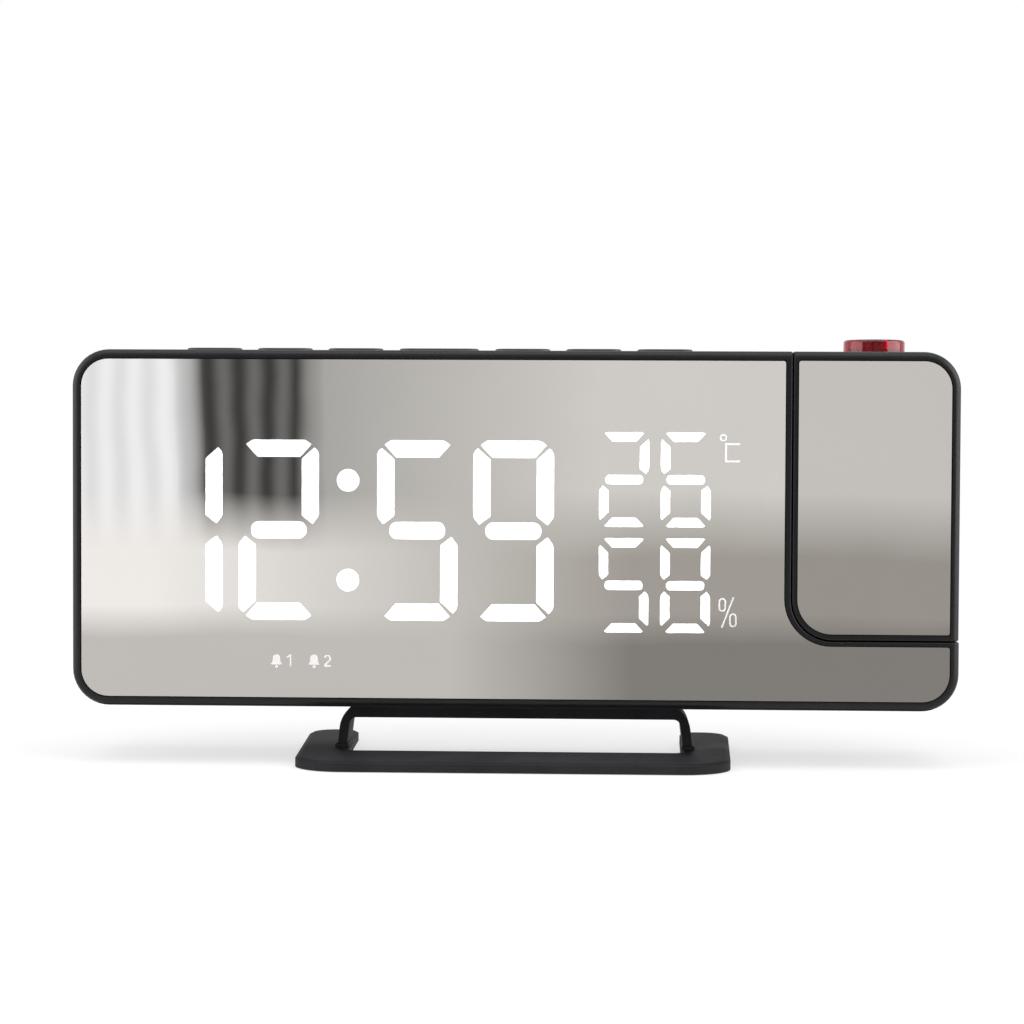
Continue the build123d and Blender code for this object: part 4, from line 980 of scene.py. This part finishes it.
@dataclass
class KeyRow(SubAssembly):
    """Seven keys along the top, each with a printed sign.

    A sign is drawn round the middle of its key in sign sizes, so that one number scales the whole row.
    """

    print_height: float = 0.03 * MM
    sign: float = 1.5 * MM
    sides: int = 32
    bar_length: float = 1.6
    bar_width: float = 0.3
    ray_width: float = 0.18
    rays: int = 8
    beam_turn: float = 28.0

    def build(self) -> None:
        """See SubAssembly.build."""
        bodies = self.frame["record"]["behaviour"]["bodies"]
        body_of = {node: body for body, nodes in bodies.items() for node in nodes}
        signs = {
            "alarm_key": self.bell,
            "minus_key": self.minus,
            "plus_key": self.plus,
            "snooze_key": self.moon,
            "mode_key": self.ring,
            "dimmer_key": self.sun,
            "projector_key": self.beam,
        }
        for node, draw in signs.items():
            self.dress({KEY_BLACK: [node]})
            low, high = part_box(node)
            x, y, _ = middle(low, high)
            piece = draw(node.replace("_key", "_sign"), (x, y, high.z + self.print_height / 2))
            self.hang(piece, PRINT_GREY, body_of[node], "key_black")

    def off(self, centre: Place, right: float, back: float) -> Place:
        """Place that lies some sign sizes to the right of a sign's middle and behind it."""
        return (centre[0] + right * self.sign, centre[1] + back * self.sign, centre[2])

    def bar(self, name: str, centre: Place, width: float, depth: float) -> Piece:
        """Print a bar with rounded corners.

        Args:
            name: Name of the piece.
            centre: Its middle.
            width: Its size from left to right, in sign sizes.
            depth: Its size from front to back, in sign sizes.

        Returns:
            The bar.
        """
        size = (width * self.sign, depth * self.sign, self.print_height)
        piece = Bench.block(name, centre, size)
        Bench.pick(piece, lambda at, along: abs(along.z) > ALIGNED, Part.EDGES)
        Bench.bevel(min(size[:2]) * 0.45, 3)
        Bench.done()
        return piece

    def spot(self, name: str, centre: Place, radius: float, hole: float = 0.0) -> Piece:
        """Print a disc, or a ring if it has a hole.

        Args:
            name: Name of the piece.
            centre: Its middle.
            radius: Its radius, in sign sizes.
            hole: Radius of its hole, in sign sizes.

        Returns:
            The disc or ring.
        """
        piece = Bench.disc_bar(name, centre, radius * self.sign, self.print_height, Axis.Z, self.sides)
        if hole > 0:
            Bench.pick(piece, lambda at, normal: abs(normal.z) > ALIGNED)
            Bench.inset(radius * self.sign - hole * self.sign)
            bpy.ops.mesh.bridge_edge_loops()
            Bench.done()
        return piece

    def minus(self, name: str, centre: Place) -> Piece:
        """Minus sign."""
        return self.bar(name, centre, self.bar_length, self.bar_width)

    def plus(self, name: str, centre: Place) -> Piece:
        """Plus sign: two crossed bars.

        Args:
            name: Name of the piece.
            centre: Middle of the sign.

        Returns:
            The sign.
        """
        piece = self.minus(name, centre)
        Bench.cut(piece, self.bar("upright", centre, self.bar_width, self.bar_length), "UNION")
        return piece

    def moon(self, name: str, centre: Place) -> Piece:
        """Crescent moon: a disc with a round bite out of it.

        Args:
            name: Name of the piece.
            centre: Middle of the sign.

        Returns:
            The sign.
        """
        piece = self.spot(name, centre, 1.0)
        bite = Bench.disc_bar(
            "bite", self.off(centre, 0.5, 0.3), 0.85 * self.sign, 4 * self.print_height, Axis.Z, self.sides
        )
        Bench.cut(piece, bite)
        return piece

    def bell(self, name: str, centre: Place) -> Piece:
        """Bell: a dome on a skirt with a brim, and the clapper under it.

        Args:
            name: Name of the piece.
            centre: Middle of the sign.

        Returns:
            The sign.
        """
        piece = self.spot(name, self.off(centre, 0.0, 0.2), 0.6)
        Bench.cut(piece, self.bar("skirt", self.off(centre, 0.0, -0.2), 1.2, 0.8), "UNION")
        Bench.cut(piece, self.bar("brim", self.off(centre, 0.0, -0.6), 1.7, 0.25), "UNION")
        return Bench.join(name, [piece, self.spot("clapper", self.off(centre, 0.0, -0.95), 0.2)])

    def ring(self, name: str, centre: Place) -> Piece:
        """Ring with a dot."""
        outer = self.spot(name, centre, 0.95, hole=0.7)
        return Bench.join(name, [outer, self.spot("dot", centre, 0.28)])

    def sun(self, name: str, centre: Place) -> Piece:
        """Sun: a disc with rays all round.

        Args:
            name: Name of the piece.
            centre: Middle of the sign.

        Returns:
            The sign.
        """
        ray = self.bar("ray", self.off(centre, 0.0, 0.95), self.ray_width, 0.4)
        turns = [math.radians(360 / self.rays * i) for i in range(1, self.rays)]
        others = [Bench.copy(ray, f"ray{i}", turn=turn, about=centre) for i, turn in enumerate(turns, 1)]
        return Bench.join(name, [self.spot(name, centre, 0.5), ray, *others])

    def beam(self, name: str, centre: Place) -> Piece:
        """Lamp with a widening beam of three rays.

        Args:
            name: Name of the piece.
            centre: Middle of the sign.

        Returns:
            The sign.
        """
        source = self.off(centre, -0.7, 0.0)
        lamp = self.spot(name, source, 0.4)
        ray = self.bar("ray", self.off(centre, 0.55, 0.0), 1.2, self.ray_width)
        turns = [math.radians(turn) for turn in (-self.beam_turn, self.beam_turn)]
        others = [Bench.copy(ray, "beam_ray", turn=turn, about=source) for turn in turns]
        return Bench.join(name, [lamp, others[0], ray, others[1]])


@dataclass
class CaseBack(SubAssembly):
    """Rear shell with its speaker, ports, cell and screws."""

    wall: float = 2.0 * MM
    gap: float = 0.02 * MM
    cloth_radius: float = 13.2 * MM
    cloth_depth: float = 0.25 * MM
    cloth_crown: float = 0.15 * MM
    cloth_rings: int = 4
    usb_contact: Place = (1.0 * MM, 6.5 * MM, 0.16 * MM)
    usb_recess: float = 1.8 * MM
    usb_tongue: float = 3.1 * MM
    usb_first: float = -3.6 * MM
    usb_steps: tuple[float, ...] = (2.5 * MM, 4.7 * MM, 7.2 * MM)
    inlet_contact: Place = (0.35 * MM, 3.6 * MM, 0.1 * MM)
    inlet_recess: float = 1.2 * MM
    inlet_blade: Span = (1.25 * MM, 1.95 * MM)
    inlet_first: float = -2.75 * MM
    inlet_pitch: float = 0.5 * MM
    inlet_count: int = 12
    mark_rise: float = 0.15 * MM
    pointer_at: float = 10.6 * MM
    pointer_radius: float = 0.9 * MM
    dots_at: float = 15.4 * MM
    dot_radius: float = 0.6 * MM
    ring_width: float = 0.2 * MM
    cover_turn: float = 60.0

    def build(self) -> None:
        """See SubAssembly.build."""
        self.dress({
            CASE_BLACK: ["rear_shell", "battery_cover", "sensor_bracket"],
            BLACK_ZINC: ["case_screws"],
            SPRING_STEEL: ["speaker_frame"],
            CONE_PAPER: ["speaker_cone"],
            FERRITE: ["speaker_magnet"],
            NICKEL: ["usb_socket", "power_inlet", "coin_cell"],
            CHIP_BLACK: ["battery_holder"],
            BRASS: ["battery_contact"],
            BOARD_GREEN: ["port_board", "climate_sensor"],
        })
        self.grille_cloth()
        self.usb_contacts()
        self.inlet_contacts()
        self.cover_marks()

    def grille_cloth(self) -> None:
        """Cloth disc between the grille and the speaker, crowned towards the grille."""
        x, _, z = middle(*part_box("speaker_frame"))
        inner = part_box("rear_shell")[1].y - self.wall
        y = inner - self.cloth_depth * 0.5 - self.gap - self.cloth_crown
        thick = self.cloth_depth * 0.4
        piece = Bench.disc_bar("grille_cloth", (x, y, z), self.cloth_radius, thick, Axis.Y, 64)
        Bench.pick(piece, lambda at, normal: normal.y > ALIGNED)
        for ring in range(1, self.cloth_rings + 1):
            Bench.inset(self.cloth_radius * 0.2, self.cloth_depth * 0.12 / ring)
        Bench.done()
        self.hang(piece, GRILLE_CLOTH, "case", "paper_black", smooth=60)

    def strip(self, name: str, centre: Place, size: Place) -> Piece:
        """Make a contact strip with a rounded lead-in at its rear end.

        Args:
            name: Name of the piece.
            centre: Its middle.
            size: Its lengths along X, Y and Z.

        Returns:
            The strip.
        """
        piece = Bench.block(name, centre, size)
        rear = centre[1] + size[1] / 2 - MERGE
        Bench.pick(piece, lambda at, along: abs(along.x) > ALIGNED and at.y > rear, Part.EDGES)
        Bench.bevel(size[2] * 0.45, 3)
        Bench.pick(piece, lambda at, along: abs(along.z) > ALIGNED, Part.EDGES)
        Bench.bevel(size[2] * 0.3, 1)
        Bench.done()
        return piece

    def usb_contacts(self) -> None:
        """Four contacts under the charging socket's tongue."""
        low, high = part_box("usb_socket")
        x, _, _ = middle(low, high)
        y = high.y - self.usb_recess - self.usb_contact[1] / 2
        z = low.z + self.usb_tongue - self.usb_contact[2] / 2
        first = self.strip("usb_contacts", (x + self.usb_first, y, z), self.usb_contact)
        others = [Bench.copy(first, "usb_contact", move=(step, 0.0, 0.0)) for step in self.usb_steps]
        self.hang(Bench.join("usb_contacts", [first, *others]), GOLD, "case", "spring_brass")

    def inlet_contacts(self) -> None:
        """Fine contacts on both sides of the power inlet's blade."""
        low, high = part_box("power_inlet")
        x, _, _ = middle(low, high)
        y = high.y - self.inlet_recess - self.inlet_contact[1] / 2
        pieces = []
        for side, level in zip((-1, 1), self.inlet_blade):
            z = low.z + level + side * self.inlet_contact[2] / 2
            first = self.strip("inlet_contact", (x + self.inlet_first, y, z), self.inlet_contact)
            steps = [(self.inlet_pitch * i, 0.0, 0.0) for i in range(1, self.inlet_count)]
            pieces += [first, *(Bench.copy(first, "inlet_contact", move=step) for step in steps)]
        self.hang(Bench.join("inlet_contacts", pieces), GOLD, "case", "spring_brass")

    def cover_marks(self) -> None:
        """Pointer on the cell cover, and the closed dot and open ring beside it on the shell."""
        low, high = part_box("battery_cover")
        x, _, z = middle(low, high)
        y = high.y + self.mark_rise / 2 - self.gap
        pointer_at = (x, y, z + self.pointer_at)
        pointer = Bench.disc_bar("cover_pointer", pointer_at, self.pointer_radius, self.mark_rise, Axis.Y, 3)
        Bench.soften(pointer, 0.05 * MM)
        self.hang(pointer, PRINT_GREY, "cell_door", "key_black")
        for name, turn in (("closed_dot", 0.0), ("open_ring", self.cover_turn)):
            angle = math.radians(90 - turn)
            dot_at = (x + self.dots_at * math.cos(angle), y, z + self.dots_at * math.sin(angle))
            dot = Bench.disc_bar(name, dot_at, self.dot_radius, self.mark_rise, Axis.Y, 24)
            if turn > 0:
                Bench.pick(dot, lambda at, normal: normal.y > ALIGNED)
                Bench.inset(self.ring_width)
                Bench.extrude(0.0, -0.6 * self.mark_rise, 0.0)
                Bench.done()
            else:
                Bench.soften(dot, 0.04 * MM)
            self.hang(dot, PRINT_GREY, "case", "key_black")


@dataclass
class CaseInside(SubAssembly):
    """Boards, switches and leads inside the case, and the tilt joint."""

    def build(self) -> None:
        """See SubAssembly.build."""
        self.dress({
            CHIP_BLACK: ["control_chip", "tact_switches"],
            SOCKET_CREAM: ["lead_socket"],
            SLEEVE: ["board_lead", "projector_lead"],
            BOARD_GREEN: ["key_board"],
            BUSH_WHITE: ["pivot_bush"],
            RUBBER: ["friction_washer"],
            CASE_BLACK: ["head_shaft"],
            SPRING_STEEL: ["shaft_clip"],
        })


@dataclass
class ProjectorHead(SubAssembly):
    """Tilting head with the lamp, the lenses and the red focus cap."""

    window_radius: float = 2.66 * MM
    window_thick: float = 0.5 * MM
    window_drop: float = 0.35 * MM
    dome_rises: tuple[float, ...] = (0.10 * MM, 0.07 * MM, 0.04 * MM)
    dome_step: float = 0.24

    def build(self) -> None:
        """See SubAssembly.build."""
        self.dress({
            CASE_BLACK: ["head_rear_shell", "optics_tube", "lens_barrel"],
            BLACK_ZINC: ["head_screws"],
            BOARD_GREEN: ["lamp_board"],
            LED_PHOSPHOR: ["lamp_led"],
            EXTRUDED: ["heat_sink"],
            LENS_CLEAR: ["condenser_lens", "focus_lens"],
            PANEL_DARK: ["image_panel"],
            CLEAR_RED: ["focus_cap"],
        })
        self.cap_window()

    def cap_window(self) -> None:
        """Slightly domed window in the cap's opening."""
        low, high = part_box("focus_cap")
        x, y, _ = middle(low, high)
        z = high.z - self.window_drop - self.window_thick / 2
        piece = Bench.disc_bar("cap_window", (x, y, z), self.window_radius, self.window_thick, Axis.Z)
        Bench.pick(piece, lambda at, normal: normal.z > ALIGNED)
        for rise in self.dome_rises:
            Bench.inset(self.window_radius * self.dome_step, rise)
        Bench.done()
        self.hang(piece, WINDOW_RED, "focus_ring", "clear_red", smooth=50)


@dataclass
class Stand(SubAssembly):
    """Arch, foot plate, pads and screws."""

    def build(self) -> None:
        """See SubAssembly.build."""
        self.dress({
            STAND_BLACK: ["stand_arch", "stand_base"],
            BLACK_ZINC: ["stand_screws"],
            RUBBER: ["foot_pads"],
        })


# ---------------------------------------------------------------- studio


class Flat:
    """Plane of the studio, with a material of its own that its wiring fills."""

    def __init__(self, name: str, at: Place, turn: Place, size: Span) -> None:
        """Add the plane.

        Args:
            name: Its name.
            at: Its middle.
            turn: Its turn from lying flat.
            size: Its lengths along its own X and Y.
        """
        Bench.clear()
        bpy.ops.mesh.primitive_plane_add(size=1.0, location=at, rotation=turn)
        self.plane = bpy.context.object
        self.plane.name = name
        self.plane.scale = (*size, 1.0)
        bpy.ops.object.transform_apply(location=False, rotation=False, scale=True)
        material = bpy.data.materials.new(name)
        self.plane.data.materials.append(material)
        self.wiring = Wiring.start(material)

    def finish(self, surface: Socket, only_reflected: bool) -> None:
        """Give the plane its surface, and hide it from the camera, from diffuse light and from shadows if
        asked.

        Args:
            surface: The shader's socket.
            only_reflected: Whether nothing but reflections shows it.
        """
        self.wiring.add("ShaderNodeOutputMaterial", {"Surface": surface})
        if only_reflected:
            self.plane.visible_camera = False
            self.plane.visible_diffuse = False
            self.plane.visible_shadow = False


@dataclass(frozen=True)
class TonedScreen:
    """Softly toned screen in front of the clock, which only reflections show.

    From its foot up it has a floor, a low and a high stretch, a dark band and a pale top. The high stretch is
    a veil, a drape and a wall from left to right. Tones come in pairs, which one blends into the other. Spans
    are distances from the screen's middle, across or up, over which one tone gives way to the next.
    """

    at: Place = (0.0, -1.5, 0.0)
    size: Span = (8.0, 4.0)
    waver: float = 0.025
    wavers_per_m: float = 5.0
    fold_rad_per_m: float = 260.0
    fold_swing: Span = (-1.0, 1.0)
    veil: tuple[Colour, Colour] = ((0.93, 0.93, 0.95), (1.08, 1.08, 1.1))
    drape: tuple[Colour, Colour] = ((0.06, 0.058, 0.055), (0.18, 0.176, 0.172))
    wall: tuple[Colour, Colour] = ((0.5, 0.49, 0.475), (0.78, 0.76, 0.735))
    low: tuple[Colour, Colour] = ((1.08, 1.055, 1.03), (0.44, 0.415, 0.385))
    floor: tuple[Colour, Colour] = ((0.66, 0.635, 0.61), (0.27, 0.255, 0.24))
    band: Colour = (0.05, 0.05, 0.05)
    top: Colour = (0.8, 0.8, 0.8)
    veil_end: Span = (-0.325, -0.3)
    drape_end: Span = (-0.225, -0.2)
    wall_blend: Span = (-0.2, 0.02)
    low_blend: Span = (-0.35, 0.05)
    floor_blend: Span = (-0.1, 0.05)
    floor_end: Span = (-0.1, -0.075)
    low_end: Span = (-0.03, 0.02)
    high_end: Span = (0.136, 0.142)
    band_end: Span = (0.4, 0.7)

    def build(self) -> None:
        """Add the screen."""
        flat = Flat("toned_screen", self.at, (math.pi / 2, 0.0, 0.0), self.size)
        wiring = flat.wiring
        across, up, _ = wiring.split(wiring.place())
        noise = wiring.noise(wiring.place(), self.wavers_per_m, detail=3.0)
        drift = wiring.times(wiring.math("SUBTRACT", noise, 0.5), self.waver)
        edge, level = wiring.plus(across, drift), wiring.plus(up, drift)
        folds = wiring.math("SINE", wiring.times(edge, self.fold_rad_per_m))
        veil = wiring.fade(folds, self.fold_swing, *self.veil)
        drape = wiring.fade(folds, self.fold_swing, *self.drape)
        wall = wiring.fade(edge, self.wall_blend, *self.wall)
        low = wiring.fade(edge, self.low_blend, *self.low)
        floor = wiring.fade(edge, self.floor_blend, *self.floor)
        high = wiring.fade(edge, self.veil_end, veil, wiring.fade(edge, self.drape_end, drape, wall))
        shades = wiring.fade(level, self.floor_end, floor, low)
        shades = wiring.fade(level, self.low_end, shades, high)
        shades = wiring.fade(up, self.high_end, shades, self.band)
        shades = wiring.fade(up, self.band_end, shades, self.top)
        flat.finish(wiring.glow(shades), only_reflected=True)


@dataclass
class Studio:
    """Floor, flats, lamps and camera. Angles are in degrees."""

    lens_mm: float = 88.0
    sensor_mm: float = 36.0
    camera_at: Place = (0.018, -0.5562, 0.0736)
    yaw: float = 1.95
    pitch: float = 1.955
    roll: float = 0.257
    fill: float = 0.58
    floor_size: Span = (40.0, 40.0)
    floor_tone: float = 0.42
    floor_lift: float = 0.66
    floor_fade: Span = (0.22, 0.6)
    floor_shown: float = -0.12
    card_at: Span = (-0.325, 0.35)
    card_size: Span = (1.3, 1.15)
    lamp_aim: Place = (0.0, 0.0, 0.05)

    def build(self) -> None:
        """Set up everything around the object."""
        bpy.context.scene.view_settings.view_transform = "Standard"
        self.camera()
        self.world()
        self.floor()
        TonedScreen().build()
        self.lamp("overhead", at=(0.0, -0.25, 1.2), size=(1.2, 0.8), power=5.4, mirrored=True)
        for name, side, glow in (("left", -1.0, 3.0), ("right", 1.0, 4.4)):
            self.card(f"{name}_card", side, glow)
            strip_at = (side * 0.85, -0.6, 0.3)
            self.lamp(f"{name}_strip", at=strip_at, size=(0.6, 1.0), power=3.2, mirrored=False)

    def camera(self) -> None:
        """Camera in front of the clock, turned and tilted by its three angles."""
        yaw, pitch, roll = (math.radians(angle) for angle in (self.yaw, self.pitch, self.roll))
        ahead = math.cos(pitch)
        forward = Vector((-math.sin(yaw) * ahead, math.cos(yaw) * ahead, -math.sin(pitch)))
        right = Vector((math.cos(yaw), math.sin(yaw), 0.0))
        up = right.cross(forward)
        tilted_right = right * math.cos(roll) + up * math.sin(roll)
        tilted_up = up * math.cos(roll) - right * math.sin(roll)
        data = bpy.data.cameras.new("view_camera")
        data.lens = self.lens_mm
        data.sensor_width = self.sensor_mm
        data.clip_start, data.clip_end = 0.01, 100.0
        camera = bpy.data.objects.new("view_camera", data)
        turn = Matrix((tilted_right, tilted_up, -forward)).transposed().to_4x4()
        camera.matrix_world = Matrix.Translation(self.camera_at) @ turn
        bpy.context.scene.collection.objects.link(camera)
        bpy.context.scene.camera = camera

    def world(self) -> None:
        """White surroundings for the camera and for reflections, a softer fill for matt surfaces."""
        world = bpy.data.worlds.new("studio")
        bpy.context.scene.world = world
        wiring = Wiring.start(world)
        path = wiring.add("ShaderNodeLightPath").outputs
        seen = wiring.math("MAXIMUM", path["Is Camera Ray"], path["Is Glossy Ray"])
        seen = wiring.math("MAXIMUM", seen, path["Is Transmission Ray"])
        strength = wiring.spread(seen, 0.0, 1.0, self.fill, 1.0)
        background = wiring.add("ShaderNodeBackground", {"Color": WHITE, "Strength": strength})
        wiring.add("ShaderNodeOutputWorld", {"Surface": background.outputs[0]})

    def floor(self) -> None:
        """Pale floor that fades to plain white away from the object and keeps its shadow.

        Reflections show it only behind a line in front of the clock, so that they end in the screen.
        """
        flat = Flat("studio_floor", ORIGIN, ORIGIN, self.floor_size)
        wiring = flat.wiring
        diffuse = wiring.add("ShaderNodeBsdfDiffuse", {"Color": shade(WHITE, self.floor_tone)}).outputs[0]
        lift = wiring.glow(WHITE, self.floor_lift)
        near = wiring.add("ShaderNodeAddShader", {0: diffuse, 1: lift}).outputs[0]
        length = wiring.add("ShaderNodeVectorMath", {0: wiring.place()}, operation="LENGTH").outputs["Value"]
        faded = wiring.mix(wiring.spread(length, *self.floor_fade), near, wiring.glow(WHITE))
        ahead = wiring.math("LESS_THAN", wiring.split(wiring.place())[1], self.floor_shown)
        glossy = wiring.add("ShaderNodeLightPath").outputs["Is Glossy Ray"]
        nothing = wiring.add("ShaderNodeBsdfTransparent").outputs[0]
        flat.finish(wiring.mix(wiring.times(ahead, glossy), faded, nothing), only_reflected=False)

    def card(self, name: str, x: float, glow: float) -> None:
        """Stand a bright card beside the clock, which only the reflections along its edges show."""
        card = Flat(name, (x, *self.card_at), (0.0, math.pi / 2, 0.0), self.card_size)
        card.finish(card.wiring.glow(WHITE, glow), only_reflected=True)

    def lamp(self, name: str, at: Place, size: Span, power: float, mirrored: bool) -> None:
        """Hang a rectangular lamp that faces the middle of the clock.

        Args:
            name: Name of the lamp.
            at: Its place.
            size: Its width and height.
            power: Its power in watts.
            mirrored: Whether reflections show it.
        """
        data = bpy.data.lights.new(name, "AREA")
        data.shape = "RECTANGLE"
        data.size, data.size_y = size
        data.energy = power
        lamp = bpy.data.objects.new(name, data)
        aim = Vector(self.lamp_aim) - Vector(at)
        lamp.matrix_world = Matrix.Translation(at) @ aim.to_track_quat("-Z", "Y").to_matrix().to_4x4()
        lamp.visible_camera = False
        lamp.visible_glossy = mirrored
        bpy.context.scene.collection.objects.link(lamp)


def main() -> None:
    """Load the frame, build and dress every sub-assembly, and set up the studio."""
    logging.basicConfig(level=logging.INFO, format="%(name)s: %(message)s")
    for item in list(bpy.data.objects):
        bpy.data.objects.remove(item)
    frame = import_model()
    bpy.context.view_layer.update()
    Studio().build()
    done: set[str] = set()
    for kind in (MirrorFace, SegmentDisplay, KeyRow, CaseBack, CaseInside, ProjectorHead, Stand):
        assembly = kind(frame)
        assembly.build()
        done.update(assembly.report)
        for name in assembly.report:
            LOG.info("%s: %s", kind.__name__, name)
    for name in sorted(set(frame["nodes"]) - done):
        LOG.warning("undressed node: %s", name)
    bpy.context.view_layer.update()


if __name__ == "__main__":
    main()
